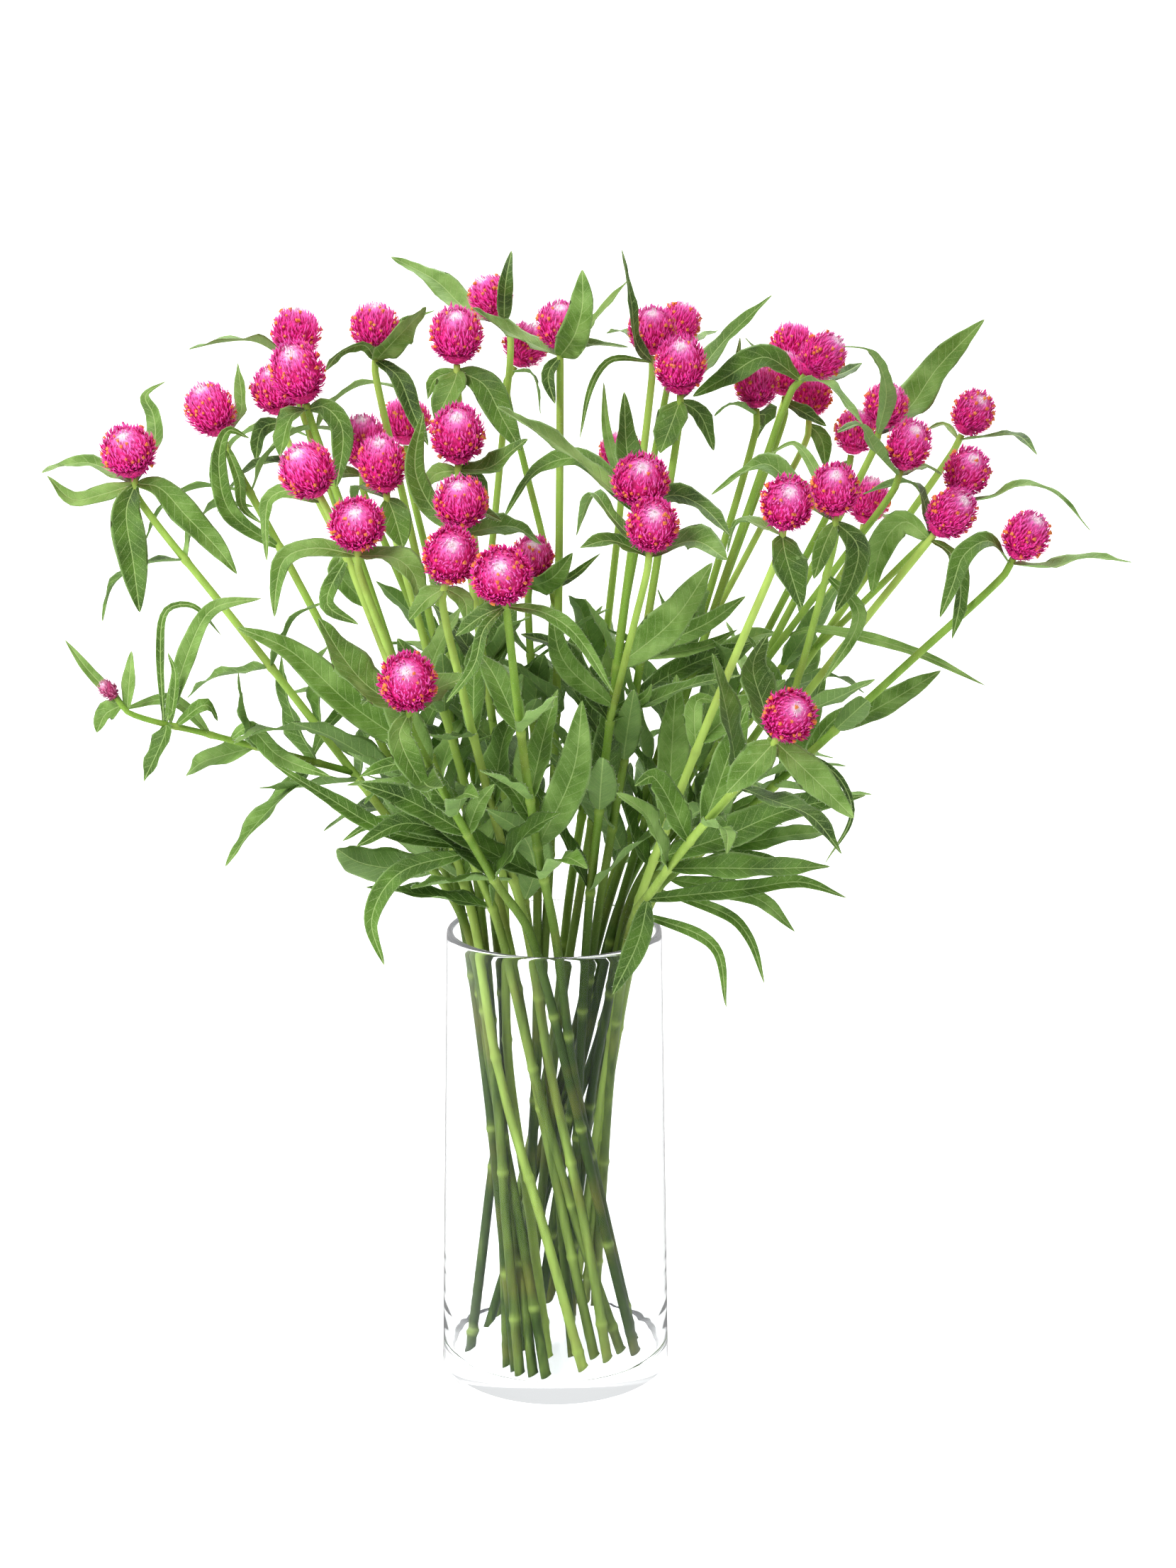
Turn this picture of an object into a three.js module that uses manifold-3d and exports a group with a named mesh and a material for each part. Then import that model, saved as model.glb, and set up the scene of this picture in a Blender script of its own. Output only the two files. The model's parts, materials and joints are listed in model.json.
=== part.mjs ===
import * as THREE from 'three';
import { mergeVertices } from 'three/addons/utils/BufferGeometryUtils.js';
import Module from 'manifold-3d';

// A loose bunch of globe amaranth in a clear glass vase.
// Millimetres, +Z up, the front of the bunch towards -Y. The origin is the middle of the vase's underside.

const wasm = await Module();
wasm.setup();

// Vase
const vaseHeight = 200;
const vaseFootRadius = 50;
const vaseRimRadius = 46;
const vaseWall = 3;
const vaseFloor = 10;
const vaseCorner = 4;
const vaseSides = 40;

// Stems
const stemSides = 5;
const stemFootRadius = 2.15;
const stemTopRadius = 1.45;
const budStalkRadius = 1.1;
const seat = 0.3;
const stemClearance = 0.9;
const narrowest = 140;
const aboveRim = 207;
const bunchTwist = 1.65;
const pairTouch = 1.35;

// Flower heads
const headRows = 4;
const bractsPerRow = 6;
const headCore = 0.8;

// Leaves
const leafThickness = 1.3;
const leafClearance = 3.5;
const leafFold = 0.16;
const leafWave = 0.1;
const creasedWidth = 9;
const fusedDetail = 0.2;

// Places on the plant are read from straight in front, as across and up in the plane of the vase's axis,
// and are then carried back or forward along the line of sight from this eye.
const eyeAcross = 14.4;
const eyeDistance = 1056;
const eyeHeight = 504;

// One row for each flower head: spray, head whose stem it forks from (0 for a stem of its own), height of that
// fork, then across, up, back, width and height of the head, and how far its axis leans across per unit up.
const heads = [
  [1, 0, 0, -174, 403, 10, 22, 22, -0.15],
  [2, 0, 0, -140, 420, 30, 20, 23, -0.4],
  [3, 0, 0, -104, 451, 90, 20, 21, 0.1],
  [2, 0, 0, -104, 435, 22, 22, 26, -0.26],
  [2, 4, 330, -113, 428, 58, 20, 21, -0.2],
  [3, 0, 0, -72, 453, 65, 19.5, 21, 0],
  [5, 0, 0, -39, 450, 25, 21.5, 23.5, 0],
  [5, 7, 330, -25, 465, 72, 17.5, 18.5, -0.5],
  [6, 0, 0, 3, 454, 35, 19, 20, 0],
  [6, 9, 330, -11, 446, 92, 18, 19, 0.5],
  [1, 0, 0, -101, 395, -30, 23, 23.5, -0.45],
  [3, 6, 310, -78, 407, 45, 19, 23, 0],
  [4, 0, 0, -70, 398, -22, 19.5, 24.5, -0.1],
  [5, 0, 0, -60, 415.5, 100, 20, 20, 0],
  [7, 0, 0, -39, 410, -15, 22, 25, 0],
  [7, 15, 290, -38, 382, -48, 22, 22, -0.1],
  [4, 0, 0, -81, 373, -60, 23, 22.7, 0],
  [7, 0, 0, -42.4, 360, -78, 22.3, 25, 0.2],
  [8, 0, 0, -21.3, 351.8, -104, 25, 24.5, -0.1],
  [6, 0, 0, -8.7, 359, 35, 18, 19, 0.1],
  [9, 0, 0, 40.4, 451.8, 45, 19, 20, 0],
  [9, 21, 330, 51.7, 454.8, 88, 16.5, 18, 0.2],
  [10, 0, 0, 52, 438, 15, 20.7, 24, 0],
  [10, 0, 0, 36, 391, -35, 23.3, 22.5, 0.1],
  [10, 24, 290, 41, 372.6, -68, 21.5, 23, 0.1],
  [11, 0, 0, 97.5, 446, 102, 18, 19, 0.1],
  [12, 0, 0, 110, 441.5, 50, 18, 21, 0.9],
  [11, 0, 0, 83, 430, 60, 18, 19, 0],
  [11, 26, 330, 94.5, 434.5, 78, 17, 18, 0],
  [13, 0, 0, 136, 421.5, 45, 18, 19, 0.25],
  [13, 30, 310, 146, 405.6, 0, 18, 21.5, 0.3],
  [12, 0, 0, 124, 411, 80, 17, 19, 0.2],
  [14, 0, 0, 171.8, 418.7, 55, 17, 19.5, 0.5],
  [14, 33, 320, 170, 394.5, 22, 18.5, 21, 0.35],
  [15, 0, 0, 164.3, 377.5, -12, 19.3, 22.5, 0.75],
  [14, 0, 0, 195.5, 368.2, -22, 19, 21.5, 0.5],
  [15, 0, 0, 96.3, 381.7, -70, 21.7, 23.5, 0.1],
  [15, 35, 290, 116, 387.3, -37, 20, 22.3, -0.05],
  [13, 0, 0, 130, 383, 62, 17, 20, 0.2],
  [8, 0, 0, -61, 307, -105, 24, 25.3, 0],
  [15, 0, 0, 99, 292.5, -112, 21.8, 23, 0.45],
  [1, 1, 268, -186.5, 303.5, -30, 7, 9, -0.8],
  [9, 0, 0, 28, 402, 90, 18, 19, 0],
  [12, 27, 330, 105.5, 426, 98, 17, 19, 0.1],
].map(([spray, parent, fork, across, up, back, width, height, lean]) => (
  { spray, parent, fork, across, up, back, width, height, lean }));
const budNumber = 42;

// Leaves that spring from just under a flower head: head, leaf width, how far the tip lies behind (+) or
// before (-) its root, then the points that the midrib passes, across and up, ending at the tip.
const headLeaves = [
  [1, 8, 8, [-163, 407], [-163, 419], [-166, 427], [-157, 433]],
  [1, 9, 5, [-190, 398], [-202, 397], [-210, 394]],
  [1, 8, -8, [-186, 385], [-198, 383], [-208, 393]],
  [1, 14, -15, [-176, 378], [-174, 358], [-172, 336]],
  [1, 12, -10, [-162, 388], [-152, 377], [-139, 363], [-131, 352]],
  [2, 6, 5, [-137, 402], [-140, 386]],
  [2, 5, -6, [-129, 391], [-128, 380], [-120, 373]],
  [2, 9, 14, [-127, 420], [-128, 439]],
  [3, 11, -12, [-120, 447], [-133, 447], [-147, 444]],
  [3, 9, 16, [-113, 457], [-124, 459], [-134, 451]],
  [4, 13, -8, [-107, 417], [-112, 400]],
  [4, 10, -5, [-93, 421], [-86, 412], [-89, 388]],
  [5, 8, 8, [-119, 412], [-122, 398]],
  [6, 13, 0, [-62, 450], [-51, 461]],
  [6, 7, 24, [-60, 455], [-47, 460]],
  [6, 6, -5, [-77, 446], [-86, 443], [-93, 435]],
  [6, 9, -18, [-63, 433], [-57, 418], [-51, 405]],
  [7, 14, -8, [-40, 431], [-48, 415]],
  [7, 13, -10, [-28, 430], [-21, 417], [-13, 403]],
  [7, 6, 8, [-48, 432], [-51, 424]],
  [8, 13, 10, [-36, 461], [-48, 472], [-67, 482]],
  [8, 7, 10, [-19, 470], [-16.5, 483]],
  [9, 13, -14, [-8, 446], [-20, 452], [-33, 461]],
  [9, 13, -16, [9, 450], [12, 461], [12, 476]],
  [9, 6, -5, [12, 446], [31, 445]],
  [9, 7, 8, [17, 456], [31, 472]],
  [9, 6, -8, [-2, 434], [1, 422]],
  [10, 5, -4, [-8, 434], [-5, 418]],
  [11, 6.5, -8, [-110, 387], [-118, 382], [-119, 357]],
  [12, 8, 8, [-87, 393], [-90, 379]],
  [13, 13, -6, [-66, 378], [-62, 363]],
  [13, 8, 6, [-79, 389], [-83, 378]],
  [14, 8, 6, [-66, 403], [-70, 388]],
  [15, 4, -15, [-39, 405], [-38, 412], [-30, 419]],
  [15, 11, -5, [-26, 396], [-18, 402], [-10, 408]],
  [15, 9, 6, [-33, 391], [-27, 380]],
  [15, 8, 6, [-49, 393], [-53, 382]],
  [16, 9, -10, [-50, 380], [-57, 396], [-53, 419]],
  [16, 7, -12, [-31, 378], [-21, 374]],
  [16, 10, 8, [-17, 372], [-4, 364]],
  [17, 8, -12, [-98, 363], [-111, 359], [-115, 347], [-116, 334]],
  [17, 12, -8, [-66, 359], [-58, 352], [-55, 337]],
  [18, 7, -3, [-37, 341], [-36, 331]],
  [18, 9, 5, [-52, 342], [-60, 333]],
  [19, 8, -6, [-29, 335], [-41, 326]],
  [19, 5, -10, [-29, 329], [-33, 314], [-45, 298]],
  [19, 6, -8, [-4, 336], [9, 327], [25, 302]],
  [20, 11, -6, [0, 351], [8, 361]],
  [20, 5, 4, [6, 350], [20, 361]],
  [21, 6, -10, [34, 447], [32, 462], [28, 484]],
  [21, 7, 6, [30, 451], [21, 451]],
  [21, 3, -10, [24, 440], [16, 430], [11, 408]],
  [22, 6, 6, [60, 449], [68, 452]],
  [23, 14, -8, [49, 415], [44, 402]],
  [23, 10, 8, [62, 438], [72, 450], [90, 467]],
  [23, 8, 8, [60, 418], [66, 403]],
  [24, 12, -12, [14, 396], [-2, 408], [-23, 421]],
  [24, 9, -18, [12, 400], [-8, 396], [-23, 375]],
  [24, 10, -8, [50, 385], [62, 380], [73, 368]],
  [24, 12, 10, [30, 405], [29, 428]],
  [25, 7, 8, [24, 376], [16, 386], [9, 368]],
  [25, 9, -6, [24, 366], [11, 363]],
  [25, 14, -14, [58, 366], [72, 358]],
  [26, 7, 5, [88, 438], [78, 449]],
  [26, 7, 10, [106, 433], [117, 437]],
  [27, 12, -10, [86, 441], [71, 433], [57, 425]],
  [27, 8, -14, [112, 430], [127, 413]],
  [27, 7, 8, [117, 434], [127, 439]],
  [28, 12, -4, [87, 417], [81, 406]],
  [28, 7, -6, [73, 422], [66, 417]],
  [28, 6, 8, [75, 436], [76, 450]],
  [29, 7, -5, [100, 420], [112, 413]],
  [30, 13, -14, [136, 428], [129, 442], [118, 444]],
  [30, 16, 5, [147, 422], [157, 437], [176, 457]],
  [31, 9, -13, [133, 402], [126, 413], [117, 410]],
  [31, 8, 6, [152, 397], [160, 393]],
  [32, 8, 4, [119, 398], [117, 385]],
  [33, 6.5, -5, [180, 409], [190, 409], [197.5, 401.5]],
  [33, 3, 4, [160, 414], [152, 411]],
  [34, 7.5, -6, [181, 384], [192, 389], [206, 386], [222, 370]],
  [35, 9, -10, [152, 384], [145, 391], [126, 386]],
  [35, 12, 8, [145, 374], [136, 364], [132, 344]],
  [35, 8, -12, [165, 360], [169, 345], [166, 325]],
  [36, 10, -8, [206, 355], [220, 359], [240, 357]],
  [36, 9, -12, [180, 366], [170, 360], [166, 348], [161, 334]],
  [37, 14, -14, [96, 360], [103, 338]],
  [37, 9, 6, [77, 374], [72, 361]],
  [38, 11, 12, [99, 388], [86, 398], [64, 385]],
  [38, 5, 8, [107, 396], [98, 407], [88, 402]],
  [38, 10, -10, [126, 364], [124, 350], [117, 336]],
  [38, 8, -5, [112, 364], [108, 350]],
  [39, 6, 6, [137, 377], [142, 366]],
  [40, 17, 8, [-78, 305], [-88, 317], [-98, 334]],
  [40, 14, 8, [-50, 303], [-36, 309]],
  [40, 11, -6, [-65, 283], [-52, 256]],
  [41, 15, 8, [87, 299], [83, 314], [89, 327]],
  [41, 14, -4, [84, 271], [73, 259]],
  [41, 13, -8, [110, 265], [127, 248]],
  [41, 3, 4, [118, 268], [126, 250], [115, 228]],
  [43, 5, 6, [22, 412], [21, 430]],
  [44, 8, 6, [110, 408], [112, 396]],
];

// Leaves lower on the stems: how far back their root lies, leaf width, how far the tip lies behind the root,
// then the root and the points that the midrib passes, across and up. The root sits on the nearest stem.
const stemLeaves = [
  [20, 8, -10, [-126, 356], [-133, 378], [-137, 398], [-133, 411], [-124, 408]],
  [-20, 9, 4, [-103, 358], [-89, 353], [-74, 336]],
  [-20, 7, -6, [-108, 352], [-94, 340], [-81, 331]],
  [-30, 5.5, -5, [-134, 301], [-160, 299], [-181, 295]],
  [-30, 10, -8, [-155, 305], [-163, 285], [-173, 264]],
  [-30, 6, 5, [-150, 305], [-146, 297], [-141, 290]],
  [-30, 3.5, 10, [-155, 308], [-164, 320], [-161, 337], [-150, 339], [-138, 326]],
  [-30, 8, 6, [-154, 308], [-150, 325], [-141, 338], [-121, 342]],
  [-30, 4, 4, [-152, 307], [-158, 310], [-161, 319]],
  [-30, 8, -10, [-125, 299], [-128, 287], [-116, 275], [-94, 266]],
  [-20, 14, -6, [-66, 272], [-85, 297], [-110, 320], [-132, 330]],
  [-30, 5, -4, [-179, 296], [-194, 311], [-204, 325]],
  [-30, 6, 4, [-178, 295], [-177, 311], [-176, 320]],
  [-30, 9, -4, [-180, 297], [-188, 293], [-192, 285]],
  [-40, 8, -8, [-50, 226], [-72, 243], [-97, 258], [-119, 272]],
  [-38, 9, -8, [-45, 226], [-66, 224], [-78, 204], [-73, 183]],
  [-20, 6, 6, [-60, 240], [-75, 246], [-90, 238]],
  [-45, 7, -6, [-60, 268], [-73, 270], [-82, 266]],
  [-55, 12, -8, [-44, 245], [-62, 256], [-82, 263]],
  [-60, 8, -8, [-39, 243], [-32, 254], [-25, 263]],
  [-50, 9, -8, [-12, 248], [-19, 262], [-30, 269]],
  [-40, 10, -10, [2, 288], [4, 316], [-1, 340]],
  [-50, 15, -14, [6, 238], [8, 268], [12, 299]],
  [-10, 16, -8, [38, 316], [50, 333], [66, 357]],
  [0, 9, 4, [52, 316], [63, 331], [80, 343]],
  [0, 6, 4, [56, 312], [64, 322], [77, 329]],
  [-30, 6, -4, [36, 286], [38, 300], [41, 306]],
  [-20, 8, 0, [50, 290], [60, 299], [70, 298]],
  [-20, 12, 4, [72, 288], [80, 297], [90, 298]],
  [-55, 12, -8, [50, 256], [42, 266], [34, 262]],
  [10, 7, 4, [106, 280], [117, 290], [130, 298]],
  [-20, 14, -8, [50, 230], [72, 240], [100, 252], [132, 258]],
  [0, 6, 6, [66, 246], [84, 255], [104, 258]],
  [-10, 7, 4, [56, 222], [78, 231], [99, 229]],
  [-20, 8, -6, [52, 206], [82, 217], [105, 220], [125, 213]],
  [10, 9, 4, [66, 213], [86, 213], [103, 198]],
  [-10, 5, -6, [54, 205], [75, 205], [84, 194], [90, 175]],
  [-30, 5, -12, [50, 202], [68, 192], [74, 164]],
  [-42, 10, -10, [40, 209], [36, 194], [25, 170]],
  [10, 5, -8, [93, 322], [111, 329], [149, 320], [181, 305]],
  [-30, 6, -6, [127, 348], [127, 335], [113, 307]],
  [10, 6, 6, [-84, 300], [-96, 286], [-104, 268]],
];

// Rule for the leaf pairs that the photograph only half shows, at the joints of the stems
const jointSpacing = 58;
const jointStart = 32;
const jointLeafLength = [34, 56];
const jointLeafWidth = [8, 12];
const leafTrianglesWanted = 4700;

const add = (a, b, k = 1) => [a[0] + b[0] * k, a[1] + b[1] * k, a[2] + b[2] * k];
const sub = (a, b) => [a[0] - b[0], a[1] - b[1], a[2] - b[2]];
const dot = (a, b) => a[0] * b[0] + a[1] * b[1] + a[2] * b[2];
const scaled = (a, k) => [a[0] * k, a[1] * k, a[2] * k];
const length = (a) => Math.sqrt(dot(a, a));
const unit = (a) => scaled(a, 1 / Math.max(length(a), 1e-9));
const cross = (a, b) => [a[1] * b[2] - a[2] * b[1], a[2] * b[0] - a[0] * b[2], a[0] * b[1] - a[1] * b[0]];
const mix = (a, b, t) => add(scaled(a, 1 - t), b, t);
const clamp = (x, low, high) => Math.min(Math.max(x, low), high);
const rounded = (a) => a.map((x) => Math.round(x * 100) / 100);

// Lehmer generator, so that every draw is the same each time
let drawState = 4711;
function draw(low = 0, high = 1) {
  drawState = (drawState * 16807) % 2147483647;
  return low + (high - low) * (drawState / 2147483647);
}

function seen(across, up, back) {
  const k = (eyeDistance + back) / eyeDistance;
  return [eyeAcross + (across - eyeAcross) * k, back, eyeHeight + (up - eyeHeight) * k];
}

function seenUp(p) {
  return eyeHeight + (p[2] - eyeHeight) * eyeDistance / (eyeDistance + p[1]);
}

const vaseOuter = (z) => vaseFootRadius + (vaseRimRadius - vaseFootRadius) * z / vaseHeight;
const vaseInner = (z) => vaseOuter(z) - vaseWall;

// Heads: place, axis and size in real millimetres
function settleHead(row, number) {
  const k = (eyeDistance + row.back) / eyeDistance;
  const axis = unit([row.lean, -0.12 + row.back * 0.003, 1]);
  const centre = seen(row.across, row.up, row.back);
  const height = row.height * k;
  const foot = add(centre, axis, -height / 2);
  const stemTop = add(foot, axis, -seat);
  return { ...row, number, axis, centre, width: row.width * k, height, foot, stemTop };
}

const blooms = heads.map((row, i) => settleHead(row, i + 1));

// Stems: each a chain of points from its cut end, or from its fork, up to its head
function hermite(a, b, da, db, t) {
  const t2 = t * t;
  const t3 = t2 * t;
  return add(add(add(scaled(a, 2 * t3 - 3 * t2 + 1), da, t3 - 2 * t2 + t), b, 3 * t2 - 2 * t3), db, t3 - t2);
}

function arch(from, along, bloom, steps) {
  const reach = length(sub(bloom.stemTop, from));
  const neck = add(bloom.stemTop, bloom.axis, -9);
  const points = [];
  const leave = scaled(along, reach * 0.8);
  const arrive = scaled(bloom.axis, reach * 0.5);
  for (let i = 1; i <= steps; i += 1) points.push(hermite(from, neck, leave, arrive, i / (steps + 1)));
  return [...points, neck, bloom.stemTop];
}

function cutStem(bloom, order) {
  const aim = Math.atan2(bloom.stemTop[1], bloom.stemTop[0]);
  const spread = Math.hypot(bloom.stemTop[0], bloom.stemTop[1]);
  const rimReach = clamp(6 + spread * 0.24, 9, 37);
  const rim = [Math.cos(aim) * rimReach, Math.sin(aim) * rimReach, aboveRim];
  const turn = aim + bunchTwist + 0.35 * (order % 3 - 1);
  const footReach = clamp(rimReach * 1.05 + 3, 10, 40);
  const foot = [Math.cos(turn) * footReach, Math.sin(turn) * footReach, vaseFloor + seat];
  const rise = (z) => mix(foot, rim, (z - foot[2]) / (rim[2] - foot[2]));
  const outward = unit(add(unit(sub(rim, foot)), unit(sub(bloom.stemTop, rim))));
  return [foot, rise(75), rise(narrowest), rim, ...arch(rim, outward, bloom, 3)];
}

function chainRadii(points, from, to) {
  return points.map((p, i) => from + (to - from) * i / (points.length - 1));
}

function closestOnSegments(p1, q1, p2, q2) {
  const d1 = sub(q1, p1);
  const d2 = sub(q2, p2);
  const r = sub(p1, p2);
  const a = dot(d1, d1);
  const e = dot(d2, d2);
  const f = dot(d2, r);
  const b = dot(d1, d2);
  const c = dot(d1, r);
  const denom = a * e - b * b;
  let s = denom > 1e-9 ? clamp((b * f - c * e) / denom, 0, 1) : 0;
  let t = (b * s + f) / e;
  if (t < 0) {
    t = 0;
    s = clamp(-c / a, 0, 1);
  } else if (t > 1) {
    t = 1;
    s = clamp((b - c) / a, 0, 1);
  }
  return [s, t];
}

function segmentsOf(chains) {
  return chains.flatMap((chain, c) => chain.points.slice(1).map((q, i) => ({ chain, c, i })));
}

// Pushes chains of different sprays apart, and off the heads, until they only pass each other
function loosen(chains, rounds) {
  const parts = segmentsOf(chains);
  for (let round = 0; round < rounds; round += 1) {
    const push = chains.map((chain) => chain.points.map(() => [0, 0, 0]));
    for (let a = 0; a < parts.length; a += 1) {
      const A = parts[a];
      const p1 = A.chain.points[A.i];
      const q1 = A.chain.points[A.i + 1];
      for (let b = a + 1; b < parts.length; b += 1) {
        const B = parts[b];
        if (A.chain.spray === B.chain.spray || (A.chain.settled && B.chain.settled)) continue;
        const p2 = B.chain.points[B.i];
        const q2 = B.chain.points[B.i + 1];
        const wanted = A.chain.radii[A.i] + B.chain.radii[B.i] + stemClearance;
        if (Math.max(p1[0], q1[0]) + wanted < Math.min(p2[0], q2[0])) continue;
        if (Math.max(p2[0], q2[0]) + wanted < Math.min(p1[0], q1[0])) continue;
        if (Math.max(p1[1], q1[1]) + wanted < Math.min(p2[1], q2[1])) continue;
        if (Math.max(p2[1], q2[1]) + wanted < Math.min(p1[1], q1[1])) continue;
        if (Math.max(p1[2], q1[2]) + wanted < Math.min(p2[2], q2[2])) continue;
        if (Math.max(p2[2], q2[2]) + wanted < Math.min(p1[2], q1[2])) continue;
        const [s, t] = closestOnSegments(p1, q1, p2, q2);
        const apart = sub(mix(p1, q1, s), mix(p2, q2, t));
        const gap = length(apart);
        if (gap >= wanted) continue;
        const way = gap > 1e-6 ? scaled(apart, 1 / gap) : [1, 0, 0];
        const amount = (wanted - gap) * 0.45;
        push[A.c][A.i] = add(push[A.c][A.i], way, amount * (1 - s));
        push[A.c][A.i + 1] = add(push[A.c][A.i + 1], way, amount * s);
        push[B.c][B.i] = add(push[B.c][B.i], way, -amount * (1 - t));
        push[B.c][B.i + 1] = add(push[B.c][B.i + 1], way, -amount * t);
      }
      for (const bloom of blooms) {
        if (A.chain.settled || bloom.number === A.chain.number) continue;
        const along = sub(q1, p1);
        const s = clamp(dot(sub(bloom.centre, p1), along) / dot(along, along), 0, 1);
        const apart = sub(mix(p1, q1, s), bloom.centre);
        const gap = length(apart);
        const wanted = Math.max(bloom.width, bloom.height) / 2 + A.chain.radii[A.i] + 1.5;
        if (gap >= wanted) continue;
        const amount = (wanted - gap) * 0.6;
        push[A.c][A.i] = add(push[A.c][A.i], apart, amount * (1 - s) / gap);
        push[A.c][A.i + 1] = add(push[A.c][A.i + 1], apart, amount * s / gap);
      }
    }
    chains.forEach((chain, c) => {
      if (chain.settled) return;
      const last = chain.points.length - 2;
      const old = chain.points;
      chain.points = old.map((p, i) => {
        if (i >= last) return p;
        if (i === 0 && chain.parent) return p;
        let moved = add(p, push[c][i]);
        if (i > 0) moved = mix(moved, mix(old[i - 1], old[i + 1], 0.5), chain.parent ? 0.02 : 0.015);
        if (!chain.parent && i <= 3) moved[2] = chain.heights[i];
        if (!chain.parent && i <= 3) {
          const spare = i === 0 ? vaseCorner + 1 : 1.2;
          const room = vaseInner(Math.min(moved[2], vaseHeight)) - chain.radii[i] - spare;
          const reach = Math.hypot(moved[0], moved[1]);
          if (reach > room) moved = [moved[0] * room / reach, moved[1] * room / reach, moved[2]];
        }
        return moved;
      });
    });
    holdPairs(chains);
  }
  for (const chain of chains) chain.points = chain.points.map(rounded);
}

// The cut stems of one spray touch where the bunch is narrowest
function holdPairs(chains) {
  const sprays = new Set(chains.map((chain) => chain.spray));
  for (const spray of sprays) {
    const mates = chains.filter((chain) => chain.spray === spray && !chain.parent && !chain.settled);
    if (mates.length < 2) continue;
    let middle = [0, 0, 0];
    for (const mate of mates) middle = add(middle, mate.points[2], 1 / mates.length);
    for (const mate of mates) {
      const off = sub(mate.points[2], middle);
      const way = length(off) > 1e-6 ? unit(off) : [1, 0, 0];
      mate.points[2] = add(middle, way, pairTouch);
    }
  }
}

function settleStems() {
  const cut = blooms.filter((bloom) => !bloom.parent).map((bloom, order) => {
    const points = cutStem(bloom, order);
    const radii = chainRadii(points, stemFootRadius, stemTopRadius);
    return { ...bloom, points, radii, heights: points.map((p) => p[2]) };
  });
  loosen(cut, 240);
  for (const chain of cut) chain.settled = true;
  const forked = blooms.filter((bloom) => bloom.parent).map((bloom) => {
    const trunk = cut.find((chain) => chain.number === bloom.parent);
    const [start, along, i] = pointAtHeight(trunk, bloom.fork);
    const side = unit(add(along, unit(sub(bloom.stemTop, start))));
    const points = [start, ...arch(start, side, bloom, 2)];
    const top = bloom.number === budNumber ? budStalkRadius : stemTopRadius;
    return { ...bloom, points, radii: chainRadii(points, trunk.radii[i] * 0.85, top) };
  });
  loosen([...cut, ...forked], 160);
  return [...cut, ...forked].sort((a, b) => a.number - b.number);
}

// The point of a chain at a height as seen from the front, with the way the chain runs there
function pointAtHeight(chain, up) {
  for (let i = 3; i < chain.points.length - 1; i += 1) {
    const low = seenUp(chain.points[i]);
    const high = seenUp(chain.points[i + 1]);
    if (up >= low && up <= high) {
      const p = mix(chain.points[i], chain.points[i + 1], (up - low) / (high - low));
      return [p, unit(sub(chain.points[i + 1], chain.points[i])), i];
    }
  }
  throw new Error(`no point of stem ${chain.number} at ${up}`);
}

// Rings joined into one closed skin. Each ring has the same number of points, and each quad is split in two,
// along its other diagonal where turned says so.
function skin(rings, tip, turned = () => false) {
  const n = rings[0].length;
  const positions = rings.flat(2);
  const index = [];
  for (let i = 1; i < n - 1; i += 1) index.push(0, i + 1, i);
  for (let r = 0; r < rings.length - 1; r += 1) {
    for (let i = 0; i < n; i += 1) {
      const j = (i + 1) % n;
      const low = r * n;
      const high = low + n;
      if (turned(r, i)) index.push(low + i, low + j, high + i, low + j, high + j, high + i);
      else index.push(low + i, low + j, high + j, low + i, high + j, high + i);
    }
  }
  const top = (rings.length - 1) * n;
  if (tip) {
    positions.push(...tip);
    for (let i = 0; i < n; i += 1) index.push(top + i, top + (i + 1) % n, top + n);
  } else {
    for (let i = 1; i < n - 1; i += 1) index.push(top, top + i, top + i + 1);
  }
  const geometry = new THREE.BufferGeometry();
  geometry.setAttribute('position', new THREE.Float32BufferAttribute(positions, 3));
  geometry.setIndex(index);
  return geometry;
}

function asSolid(geometry) {
  const bare = geometry.clone();
  bare.deleteAttribute('normal');
  bare.deleteAttribute('uv');
  const merged = mergeVertices(bare, 1e-3);
  return new wasm.Manifold(new wasm.Mesh({
    numProp: 3,
    vertProperties: new Float32Array(merged.attributes.position.array),
    triVerts: new Uint32Array(merged.index.array),
  }));
}

function asGeometry(solid) {
  const mesh = solid.getMesh();
  const geometry = new THREE.BufferGeometry();
  geometry.setAttribute('position', new THREE.Float32BufferAttribute(mesh.vertProperties, 3));
  geometry.setIndex(Array.from(mesh.triVerts));
  geometry.computeVertexNormals();
  return geometry;
}

// The largest piece of a joined solid, without the hollows that joining sealed
function onePiece(solid) {
  let best = asSolid(asGeometry(solid.simplify(0.01))).simplify(fusedDetail);
  for (;;) {
    const whole = asSolid(asGeometry(best));
    const pieces = whole.decompose();
    if (pieces.length === 1) return whole;
    best = pieces.reduce((largest, piece) => (piece.volume() > largest.volume() ? piece : largest));
  }
}

function stemSolid(chain) {
  const { points, radii } = chain;
  const last = points.length - 1;
  const fullness = Math.sqrt(2 * Math.PI / (stemSides * Math.sin(2 * Math.PI / stemSides)));
  const rings = points.map((p, i) => {
    const before = unit(sub(points[i], points[Math.max(i - 1, 0)]));
    const after = unit(sub(points[Math.min(i + 1, last)], points[i]));
    let way = unit(add(before, after));
    if (i === 0) way = chain.parent ? after : [0, 0, 1];
    if (i === last) way = chain.axis;
    const u = unit(cross([0.1, 1, 0.05], way));
    const v = cross(way, u);
    const ring = [];
    for (let k = 0; k < stemSides; k += 1) {
      const turn = 2 * Math.PI * k / stemSides;
      const reach = radii[i] * fullness;
      ring.push(add(add(p, u, Math.cos(turn) * reach), v, Math.sin(turn) * reach));
    }
    return ring;
  });
  return asSolid(skin(rings));
}

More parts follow.
